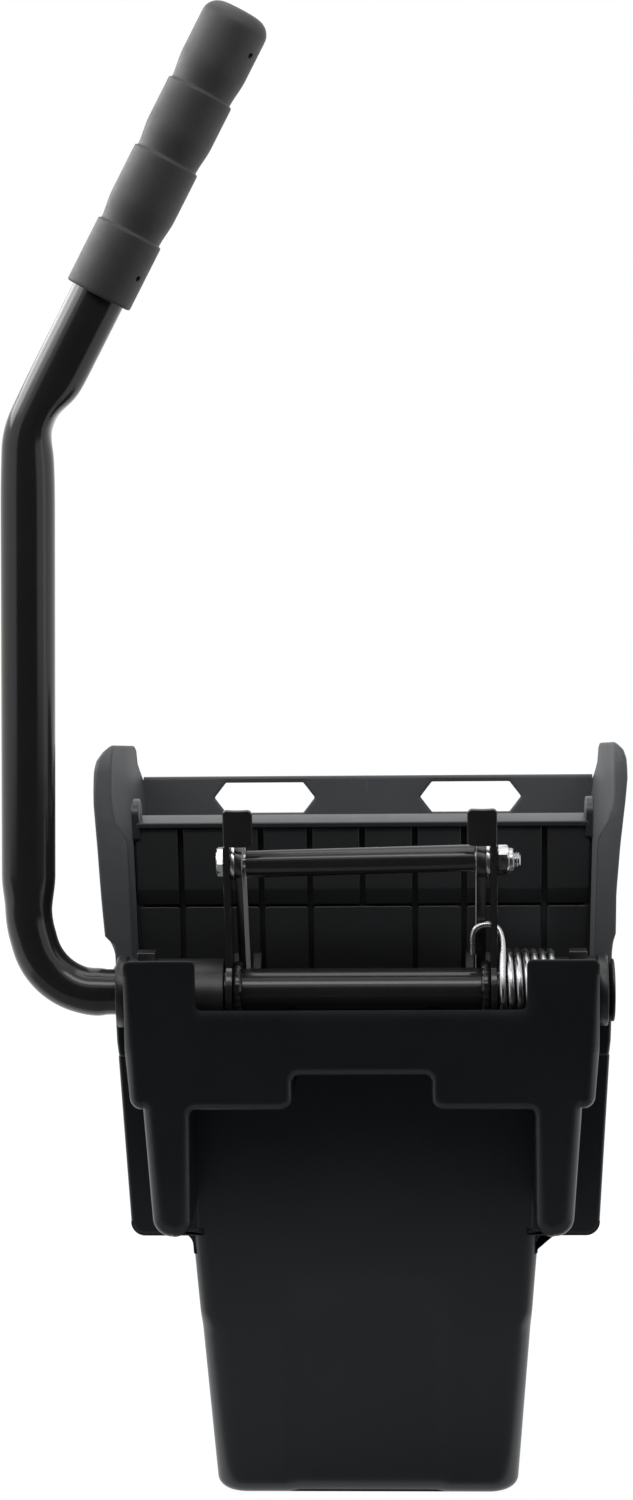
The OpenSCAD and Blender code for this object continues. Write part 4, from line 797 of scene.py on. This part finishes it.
def softened(node, name, width):
    """Merged copy of a solid whose edges sharper than 25 degrees are rounded by a width in millimetres."""
    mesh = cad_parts[node].data.copy()
    mesh.name = name
    mesh.materials.clear()
    work = bmesh.new()
    work.from_mesh(mesh)
    bmesh.ops.remove_doubles(work, verts=work.verts, dist=0.02 * MM)
    bmesh.ops.dissolve_limit(work, angle_limit=np.radians(0.4), verts=work.verts, edges=work.edges)
    work.to_mesh(mesh)
    work.free()
    shade_smooth(mesh)
    piece = placed(name, mesh)
    bevel = piece.modifiers.new("rounded_edges", "BEVEL")
    bevel.limit_method = "ANGLE"
    bevel.angle_limit = np.radians(25.0)
    bevel.width = width * MM
    bevel.segments = 2
    bevel.harden_normals = True
    bevel.miter_outer = "MITER_ARC"
    made = bpy.data.meshes.new_from_object(piece.evaluated_get(bpy.context.evaluated_depsgraph_get()))
    piece.modifiers.clear()
    piece.data = made
    piece.data.name = name
    return piece


for node, name, width, material, owner, slot in (
        ("left_bushing", "flanged_bushing_left", 0.7, BUSHING, "frame", "bushing_plastic"),
        ("right_bushing", "flanged_bushing_right", 0.7, BUSHING, "frame", "bushing_plastic"),
        ("bolt_washers", "zinc_washers", 0.25, ZINC, "handle", "zinc_steel"),
        ("spacer_tube", "loose_spacer_tube", 0.3, PAINT, "handle", "handle_paint"),
        ("link_pins", "zinc_link_pins", 0.5, ZINC, "links", "zinc_steel"),
        ("pin_clips", "zinc_pin_clips", 0.3, ZINC, "links", "zinc_steel"),
        ("hinge_rod", "zinc_hinge_rod", 0.5, ZINC, "frame", "zinc_steel"),
        ("shaft_end_cap", "plugged_end_cap", 0.4, BUSHING, "handle", "bushing_plastic"),
        ("nut_insert", "nylon_insert", 0.15, NYLON, "handle", "insert_nylon")):
    dress(softened(node, name, width), material, owner, slot, node)


# Links.

def link_piece(node, name, side):
    """Link with a draft: the left one's inner face slants away towards the front by 1.3 mm over its width."""
    most, inner_x, half_width = 0.65 - 0.65 * side, 57.8, 8.75
    along = unit(leaned(np.array([[0.0, *PIN_AT]]))[0, 1:] - PIVOT[1:])

    def draft(place):
        forward = (place[:, 1] - PIVOT[1]) * along[1] - (place[:, 2] - PIVOT[2]) * along[0]
        shift = most * (np.abs(place[:, 0]) < inner_x) * np.clip(0.5 + 0.5 * forward / half_width, 0.0, 1.0)
        return columns(place[:, 0] + side * shift, place[:, 1], place[:, 2])

    return moved(softened(node, name, 0.6), draft)


for side, node, name in ((-1.0, "left_link", "link_bar_left"), (1.0, "right_link", "link_bar_right")):
    link = dress(link_piece(node, name, side), LINK_PAINT, "links", "link_steel", node)
    facing = np.empty(3 * len(link.data.polygons))
    link.data.polygons.foreach_get("normal", facing)
    # The inner faces, picked by the way they face, take the brighter finish as a painted highlight.
    link.data.materials.append(LINK_FACE_PAINTED_HIGHLIGHT)
    link.data.polygons.foreach_set("material_index", (side * facing[::3] < -0.9).astype(np.int32))


# Crank arms.

def ringed_plate(name, outline, holes, near, far, r):
    """Flat plate across x with round holes in a row up its middle: skins of rings between each hole and its own
    stretch of the outline, which is given as half widths at heights. Its free edges are rounded by r."""
    heights, halves = np.array(outline).T
    cuts = [heights[0]] + [0.5 * (a[0] + b[0]) for a, b in zip(holes[:-1], holes[1:])] + [heights[-1]]
    flat = np.linspace(-1.0, 1.0, 24)[1:-1]
    pieces = []
    for (z, hole_r), low, high in zip(holes, cuts[:-1], cuts[1:]):
        up = np.linspace(low, high, 40)
        half = np.interp(up, heights, halves)
        edge = np.concatenate([columns(half, up), columns(-flat * half[-1], high), columns(-half[::-1], up[::-1]),
                               columns(flat * half[0], low)])
        ray = unit(edge - [0.0, z])
        hole = [0.0, z] + hole_r * ray
        at_cut = [np.abs(edge[:, 1] - cut) < 0.01 for cut in (low, high) if cut not in (heights[0], heights[-1])]
        soft = np.where(np.any(at_cut, axis=0), 0.0, r)[:, None] * ray
        face = [(hole, 0.02), (edge - 2.2 * soft, 0.0), (edge - soft, 0.0), (edge - 0.3 * soft, 0.3 * r), (edge, r)]
        rows = [(at, near + depth) for at, depth in face] + [(at, far - depth) for at, depth in reversed(face)]
        pieces.append(closed_skin(name, stacked(rows, 0)))
    return pieces


def subdivided(piece, cuts):
    """Piece with its edges cut so that it can be bowed."""
    work = bmesh.new()
    work.from_mesh(piece.data)
    bmesh.ops.triangulate(work, faces=[f for f in work.faces if len(f.verts) > 4])
    bmesh.ops.subdivide_edges(work, edges=work.edges[:], cuts=cuts, use_grid_fill=True)
    work.to_mesh(piece.data)
    work.free()
    shade_smooth(piece.data)
    return piece


def crank_plate(name, side, spring_holes):
    """Crank arm: a flat plate from the eye round the shaft up to the pivot, and above it a tab bent inward, which
    bows a little and has rounded corners. Built upright at the shaft, then leaned."""
    tab_low, tab_x, tab_half, tab_y = 75.6, 58.3, 7.1, -9.0
    turn = np.radians(np.linspace(-90.0, 58.0, 30))
    outline = [(CRANK_EYE_R * np.sin(a), max(CRANK_EYE_R * np.cos(a), 0.4)) for a in turn] + [(tab_low, -tab_y)]
    holes = [(0.0, SHAFT_R)] + spring_holes + [(CRANK_R, BOLT_R + 0.1)]
    corners = [(51.2, tab_low, 2.2), (65.4, tab_low, 1.0), (65.4, 93.6, 2.2), (51.2, 93.6, 2.6)]
    tab = subdivided(rounded_prism("crank_tab", corners, 0.0, 3.0, 0.5), 3)

    def bow(place):
        return columns(place[:, 0], tab_y + place[:, 1] + 1.5 * ((place[:, 0] - tab_x) / tab_half) ** 2, place[:, 2])

    flats = ringed_plate("crank_flat", outline, holes, ARM_INNER_X, ARM_OUTER_X, 0.45)
    whole = joined(name, flats + [moved(tab, bow)])
    return moved(whole, lambda place: swung(place * [side, 1.0, 1.0], CRANK_LEAN, SHAFT[1], SHAFT[2]))


for side, node, name, spring_holes in ((-1.0, "left_crank_arm", "crank_plate_left", []),
                                       (1.0, "right_crank_arm", "crank_plate_right", [(32.8, 4.3)])):
    arm = crank_plate(name, side, spring_holes)
    keep_creases(arm, 32.0)
    dress(arm, PAINT, "handle", "handle_paint", node)


# Handle tube and grip.

def handle_path(step=2.0):
    """Middle line of the bent handle in its own plane, as (x, z) rows with the distance along it: the shaft from its
    free end, the tight and gentle arcs of the lower bend, the long straight, the upper bend and the grip's run."""
    def up_at(lean):
        return np.array([np.sin(lean), np.cos(lean)])

    tight = [BEND_START_X, SHAFT[2] + TIGHT_R] + TIGHT_R * rays(-QUARTER - np.linspace(0.0, TIGHT_TURN, 40))
    gentle_start = tight[-1] + SWAGE * np.array([-np.cos(TIGHT_TURN), np.sin(TIGHT_TURN)])
    gentle = gentle_start + GENTLE_R * (up_at(TIGHT_TURN)
                                        + rays(np.linspace(3 * QUARTER - TIGHT_TURN, np.pi - HANDLE_LEAN, 40)))
    corner = gentle[-1] + (UPPER_CORNER_Z - gentle[-1, 1]) * np.array([np.tan(HANDLE_LEAN), 1.0])
    bend_start = corner - UPPER_R * np.tan((GRIP_LEAN - HANDLE_LEAN) / 2) * up_at(HANDLE_LEAN)
    upper = bend_start + UPPER_R * (np.array([np.cos(HANDLE_LEAN), -np.sin(HANDLE_LEAN)])
                                    + rays(np.linspace(np.pi - HANDLE_LEAN, np.pi - GRIP_LEAN, 30)))
    end = corner + TUBE_PAST_CORNER * up_at(GRIP_LEAN)
    points = np.concatenate([[[SHAFT_END_X, SHAFT[2]]], tight, gentle, upper, [end]])
    length = np.linalg.norm(np.diff(points, axis=0), axis=1).sum()
    count = int(length / step)
    return resampled(points, count), np.linspace(0.0, length, count), corner


HANDLE_LINE, HANDLE_AT, UPPER_CORNER = handle_path()


def handle_tube_piece(sides=56):
    """Bent tube: an oval section carried along the handle's line. Its radius grows from the shaft's to the handle's
    through two swaged steps, each bend flattens it a little, and the upper one dents its inner side."""
    way = unit(np.gradient(HANDLE_LINE, axis=0))
    inner = columns(way[:, 1], -way[:, 0])
    bend_at = SHAFT_END_X - BEND_START_X
    swage_at = bend_at + TIGHT_R * TIGHT_TURN + SWAGE + GENTLE_R * (QUARTER - TIGHT_TURN + HANDLE_LEAN)
    radius = SHAFT_R + (BEND_TUBE_R - SHAFT_R) * rounded(HANDLE_AT, bend_at - SWAGE, bend_at)
    radius = radius + (TUBE_R - BEND_TUBE_R) * rounded(HANDLE_AT, swage_at - 2.0, swage_at + 16.0)
    from_corner = HANDLE_AT - HANDLE_AT[np.argmin(np.linalg.norm(HANDLE_LINE - UPPER_CORNER, axis=1))]
    upper = np.exp(-(from_corner / 17.0) ** 2)
    lower = rounded(HANDLE_AT, bend_at, bend_at + 10.0) * (1.0 - rounded(HANDLE_AT, swage_at - 4.0, swage_at + 12.0))
    flat = 0.045 * upper + 0.03 * lower
    past = from_corner - 14.0
    dent = 4.4 * np.exp(-(past / np.where(past > 0.0, 10.0, 13.0)) ** 2)
    angle = circle(sides)
    from_inner = (angle + np.pi) % (2 * np.pi) - np.pi
    in_plane = np.outer(radius * (1.0 - flat), np.cos(angle)) - np.outer(dent, np.exp(-from_inner ** 2 / 0.8))
    sideways = np.outer(radius * (1.0 + 0.5 * flat), np.sin(angle))
    return capped_skin("bent_handle_tube", columns(HANDLE_LINE[:, None, 0] + in_plane * inner[:, None, 0],
                                                   SHAFT[1] + sideways,
                                                   HANDLE_LINE[:, None, 1] + in_plane * inner[:, None, 1]))


tube = handle_tube_piece()
keep_creases(tube, 50.0)
dress(tube, PAINT, "handle", "handle_paint", "handle_tube")


def grip_profile():
    """Radii of the grip and their distances from its rim: four segments, of which the upper three each start a little
    slimmer than the one below and swell to full size, and a rounded end. Rows are closer together at the vents."""
    r, step, swell_length = GRIP_R, 1.25, 14.0
    rim = [(TUBE_R + 0.1, 2.0), (TUBE_R + 0.1, 0.4), (TUBE_R + 0.5, 0.0), (r - 1.0, 0.0)]
    rows = [(r - 0.25, 0.3), (r, 1.0)]
    for index, (begin, stop) in enumerate(zip(GRIP_STEPS[:-1], GRIP_STEPS[1:])):
        along = np.linspace(begin + (1.2 if index else 2.0), stop - 1.0, 16)
        swell = rounded(along, begin, begin + swell_length) if index else np.ones_like(along)
        rows += list(zip(r - step * (1.0 - swell), along))
        if index < 3:
            rows += [(r - drop, stop + past) for drop, past in (
                (0.02, -0.6), (0.18, -0.2), (0.55, 0.05), (1.0, 0.25), (1.22, 0.6))]
    turn = np.linspace(0.0, QUARTER, 12)[1:]
    rows += list(zip(r - GRIP_END_R + GRIP_END_R * np.cos(turn), GRIP_STEPS[-1] + (GRIP_END_R - 0.1) * np.sin(turn)))
    rows = np.array(rows)
    extra = np.concatenate([at + VENT_FINE for at in VENTS])
    rows = np.concatenate([rows, columns(np.interp(extra, rows[:, 1], rows[:, 0]), extra)])
    rows = rows[np.argsort(rows[:, 1], kind="stable")]
    end = [(4.0, GRIP_LENGTH - 0.1), (0.6, GRIP_LENGTH - 0.1)]
    return np.concatenate([rim, rows, end]).T


def grip_piece():
    """Stepped grip: a profile turned round the handle's upper run, with two small vent holes sunk in its side."""
    radius, along = grip_profile()
    angle = np.sort(np.concatenate([np.linspace(-np.pi, np.pi, 72, endpoint=False),
                                    VENT_TURN + 0.013 + VENT_FINE / GRIP_R]))
    away = np.min([np.hypot(along[:, None] - at, GRIP_R * (angle - VENT_TURN)) for at in VENTS], axis=0)
    radius = radius[:, None] - VENT_DEPTH * (1.0 - rounded(away, 1.05, 1.45))
    way = np.array([np.sin(GRIP_LEAN), 0.0, np.cos(GRIP_LEAN)])
    right = np.array([np.cos(GRIP_LEAN), 0.0, -np.sin(GRIP_LEAN)])
    rim = np.array([UPPER_CORNER[0], SHAFT[1], UPPER_CORNER[1]]) + GRIP_START * way
    ring = np.sin(angle)[:, None] * right - np.cos(angle)[:, None] * [0.0, 1.0, 0.0]
    return capped_skin("stepped_grip", rim + along[:, None, None] * way + radius[..., None] * ring)


grip = grip_piece()
keep_creases(grip, 50.0)
dress(grip, VINYL, "handle", "grip_vinyl", "handle_grip")


# Welds, bolt and nut.

def weld_bead(side):
    """Weld bead in the corner between a crank plate and the shaft: a small round section carried round the shaft, its
    size rippling as the torch moved."""
    turn, section = circle(120), circle(14)
    ripple = 1.0 + 0.035 * np.sin(26 * turn) + 0.06 * np.sin(7 * turn + 1.0) + 0.06 * np.sin(3 * turn)
    reach = 2.9 * ripple[:, None]
    r = SHAFT_R + 0.6 + reach * (0.5 + 0.62 * np.cos(section))
    x = np.minimum(ARM_INNER_X - 0.4 - reach * (0.62 + 0.75 * np.sin(section)), ARM_INNER_X + 0.2)
    return closed_skin("weld_bead", columns(side * x, SHAFT[1] + r * np.cos(turn)[:, None],
                                            SHAFT[2] + r * np.sin(turn)[:, None]))


dress(joined("shaft_weld_beads", [weld_bead(side) for side in SIDES]), PAINT, "handle", "handle_paint", "arm_welds")


def about_pivot(x, radius, angle):
    """Rings about the pivot's axis; at angle 0 a ray points up."""
    return columns(x, PIVOT[1] + radius * np.sin(angle), PIVOT[2] + radius * np.cos(angle))


def hexagon(profile, seat, turn=0.0):
    """Hexagon with chamfered corners along the pivot: at each angle the radius is the lesser of the hexagon's own and
    the profile's, whose rows are (radius, distance). At turn 0 a flat faces up."""
    angle = circle(96)
    own = HEX_FLAT / np.cos((angle + turn + np.pi / 6) % (np.pi / 3) - np.pi / 6)
    radius, along = np.array(profile).T[..., None]
    return about_pivot(seat + along, np.minimum(radius, own), angle)


def bolt_piece():
    """Pivot bolt: a chamfered hexagon head, a plain shank and a thread whose crest winds along the last stretch."""
    seat = -ARM_OUTER_X - 0.1
    head = capped_skin("bolt_head", hexagon(
        [(0.5, -HEAD_THICK), (HEX_FLAT - 0.9, -HEAD_THICK), (HEX_FLAT - 0.1, -HEAD_THICK + 0.15),
         (HEX_CORNER, -HEAD_THICK + 0.75), (HEX_CORNER, -0.35), (HEX_FLAT - 0.2, -0.05), (HEX_FLAT - 0.5, 0.0),
         (0.5, 0.0)], seat))
    end = ARM_OUTER_X + 0.1 + NUT_HEX + NUT_COLLAR + BOLT_TAIL
    x = np.concatenate([[seat + 0.02], np.linspace(seat + 2.0, THREAD_START, 12),
                        np.arange(THREAD_START + 0.1, end, 0.1)])[:, None]
    angle = circle(40)
    wave = np.abs(((x / THREAD_PITCH - angle / (2 * np.pi)) % 1.0) * 2.0 - 1.0)
    depth = 0.62 * rounded(x, THREAD_START, THREAD_START + 2.0)
    radius = np.minimum(BOLT_R - depth * np.clip(wave * 1.3 - 0.15, 0.0, 1.0),
                        BOLT_R - 1.1 * rounded(x, end - 1.1, end))
    return joined("zinc_pivot_bolt", [head, capped_skin("bolt_shank", about_pivot(x, radius, QUARTER - angle))])


bolt = bolt_piece()
keep_creases(bolt, 30.0)
dress(bolt, ZINC, "handle", "zinc_steel", "pivot_bolt")


def nut_piece():
    """Lock nut: a chamfered hexagon that turns into a round collar with a rolled lip, open down to the insert."""
    flat, collar, top, bore = HEX_FLAT, NUT_COLLAR_R, NUT_HEX + NUT_COLLAR, BOLT_R + 0.1
    rows = [(bore, 0.5), (bore, 0.0), (flat - 0.5, 0.0), (flat - 0.1, 0.1), (HEX_CORNER, 0.55),
            (HEX_CORNER, NUT_HEX - 0.9), (flat + 0.1, NUT_HEX - 0.25), (flat - 0.25, NUT_HEX),
            (collar, NUT_HEX + 0.15), (collar, top - 0.9), (collar - 0.25, top - 0.3), (collar - 0.7, top),
            (5.15, top - 0.1), (5.1, NUT_HEX + 0.2), (5.1, NUT_HEX), (bore, NUT_HEX)]
    return closed_skin("zinc_lock_nut", hexagon(rows, ARM_OUTER_X + 0.1, np.pi / 6))


nut = nut_piece()
keep_creases(nut, 30.0)
dress(nut, ZINC, "handle", "zinc_steel", "lock_nut")


# Return spring.

def wire_along(path, radius, sides):
    """Round wire: a circle of the radius carried along a path of points, turning about it as little as it can."""
    way = unit(np.gradient(path, axis=0))
    side = np.zeros_like(way)
    side[0] = unit(np.cross(way[0], [0.0, 1.0, 0.0]))
    for i in range(1, len(way)):
        side[i] = unit(side[i - 1] - np.dot(side[i - 1], way[i]) * way[i])
    ring = np.einsum("ca,pad->pcd", rays(circle(sides)), np.stack([side, np.cross(way, side)], axis=1))
    return path[:, None, :] + radius * ring


def cubic(a, b, c, d, count=24):
    """Points of a cubic curve from a to d with handles b and c, without its first point."""
    s = np.linspace(0.0, 1.0, count + 1)[1:, None]
    q = 1.0 - s
    return a * q ** 3 + 3 * b * s * q ** 2 + 3 * c * s ** 2 * q + d * s ** 3


def spring_path():
    """Middle line of the wire: the hook's free end, its crown through the crank plate, the coil round the shaft and
    the straight leg that leans on the housing."""
    def coil(turn):
        y, z = COIL_R * rays(np.radians(turn)).T
        return columns(COIL_START_X + COIL_PITCH * (turn - HOOK_LEAVE) / 360.0, SHAFT[1] + y, SHAFT[2] + z)

    def heading(turn):
        a = np.radians(turn)
        return np.array([0.0, -np.sin(a), np.cos(a)])

    free, rise, crown = np.array([(53.9, -80.0, 281.5), (53.9, -80.0, 289.0), (60.7, -80.0, 296.2)])
    reach = 0.6 * (crown[2] - rise[2])
    last = FIXED_LEAVE + 360.0 * COIL_TURNS
    leave = coil(HOOK_LEAVE)
    return np.concatenate([
        np.linspace(free, rise, 6),
        cubic(rise, rise + [0, 0, reach], crown - [reach, 0, 0], crown),
        cubic(crown, crown + [9.5, 0, 0], leave - 14.0 * heading(HOOK_LEAVE), leave),
        coil(np.linspace(HOOK_LEAVE, last, 48 * COIL_TURNS)[1:]),
        coil(last) + np.linspace(0.0, FIXED_LEG, 8)[1:, None] * heading(last)])


spring = capped_skin("torsion_spring", wire_along(spring_path(), WIRE_R, 18))
keep_creases(spring, 50.0)
spring.data.materials.append(WIRE)
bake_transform(spring)
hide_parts("return_spring")


# Floor, surroundings, lights and camera, in metres.

def sheet(name, shade, roughness, corners):
    """Flat matt sheet of the studio between four corners."""
    mesh = bpy.data.meshes.new(name)
    mesh.from_pydata(corners, [], [(0, 1, 2, 3)])
    material = bpy.data.materials.new(name)
    material.use_nodes = True
    shader = material.node_tree.nodes["Principled BSDF"]
    set_inputs(shader, Base_Color=(shade, shade, shade, 1.0), Roughness=roughness)
    mesh.materials.append(material)
    return placed(name, mesh)


def seen_or_mirrored(tree):
    """Socket that is 1 where a surface is seen by the camera, in a mirror or through glass, and else 0."""
    path = tree.nodes.new("ShaderNodeLightPath").outputs
    seen = math_node(tree, "MAXIMUM", path["Is Camera Ray"], path["Is Glossy Ray"])
    return math_node(tree, "MAXIMUM", seen, path["Is Transmission Ray"])


def plain_floor():
    """Large pale floor under the wringer; it shows white and keeps the shadow near the object."""
    floor = sheet("pale_floor", 0.9, 0.9, [(-6, -6, 0), (6, -6, 0), (6, 6, 0), (-6, 6, 0)])
    tree = floor.active_material.node_tree
    glow = tree.nodes.new("ShaderNodeEmission")
    set_inputs(glow, Strength=1.1)
    mix = tree.nodes.new("ShaderNodeMixShader")
    tree.links.new(math_node(tree, "MULTIPLY", seen_or_mirrored(tree), 0.88), mix.inputs[0])
    tree.links.new(tree.nodes["Principled BSDF"].outputs[0], mix.inputs[1])
    tree.links.new(glow.outputs[0], mix.inputs[2])
    tree.links.new(mix.outputs[0], tree.nodes["Material Output"].inputs["Surface"])


def dark_card(name, shade, half_x, near, far):
    """Dark studio card that keeps the room's white out of the faces turned to it; the camera doesn't see it. near and
    far are (y, z) of its two long edges."""
    card = sheet(name, shade, 1.0, [(-half_x, *near), (half_x, *near), (half_x, *far), (-half_x, *far)])
    card.visible_camera = False


def surroundings():
    """Even grey room that shows white where it is seen or mirrored."""
    world = bpy.data.worlds.new("pale_room")
    bpy.context.scene.world = world
    world.use_nodes = True
    tree = world.node_tree
    back = tree.nodes["Background"]
    set_inputs(back, Color=(1.0, 1.0, 1.0, 1.0))
    level = math_node(tree, "ADD", math_node(tree, "MULTIPLY", seen_or_mirrored(tree), 0.65), 0.35)
    tree.links.new(level, back.inputs["Strength"])


def set_in_place(piece, right, up, back, place):
    """Puts a light or camera at a place with its own axes along three directions."""
    turn = np.eye(4)
    turn[:3] = np.stack([right, up, back, place], axis=1)
    piece.matrix_world = Matrix(turn.tolist())


def softbox(name, place, target, width, height, power):
    """Oblong soft light at a place, facing a target."""
    lamp = bpy.data.lights.new(name, "AREA")
    lamp.shape = "RECTANGLE"
    lamp.size, lamp.size_y = width, height
    lamp.energy = power
    away = unit(np.subtract(place, target))
    side = unit(np.cross([0.0, 1.0, 0.0] if abs(away[2]) > 0.9 else [0.0, 0.0, 1.0], away))
    set_in_place(placed(name, lamp), side, np.cross(away, side), away, place)


def photo_camera():
    """Camera at the photograph's place: 1.476 m in front, 0.553 m up, looking 7 degrees down and 2 to the left."""
    camera = bpy.data.cameras.new("photo_camera")
    camera.sensor_width = 36.0
    camera.lens = 70.37
    camera.clip_end = 50.0
    forward = np.array([-0.03672, 0.99187, -0.12187])
    level, up = np.array([0.99932, 0.03699, 0.0]), np.array([-0.00451, 0.12179, 0.99255])
    roll = 0.011344
    viewer = placed("photo_camera", camera)
    set_in_place(viewer, unit(level - roll * up), unit(up + roll * level), -forward, (0.031, -1.476, 0.5531))
    bpy.context.scene.camera = viewer


plain_floor()
dark_card("near_floor_card", 0.40, 0.5, (-0.45, 0.003), (-0.06, 0.003))
dark_card("floor_card", 0.03, 2.3, (-2.4, 0.003), (-0.45, 0.003))
dark_card("front_card", 0.01, 2.3, (-2.4, 0.0), (-2.4, 1.75))
surroundings()
softbox("front_softbox", (0.0, -0.98, 1.47), (0.0, -0.05, 0.3), 1.7, 0.34, 8.5)
softbox("top_softbox", (0.0, 0.1, 1.8), (0.0, 0.0, 0.3), 1.2, 1.0, 6.0)
softbox("left_softbox", (-1.4, -0.2, 1.5), (-0.1, -0.05, 0.6), 1.2, 0.7, 10.0)
softbox("left_rim_softbox", (-1.4, 0.7, 1.22), (-0.1, -0.05, 0.65), 1.7, 0.5, 11.0)
softbox("right_strip", (1.5, -0.3, 0.9), (0.1, -0.05, 0.4), 0.35, 1.6, 1.4)
photo_camera()
bpy.context.scene.view_settings.view_transform = "Standard"
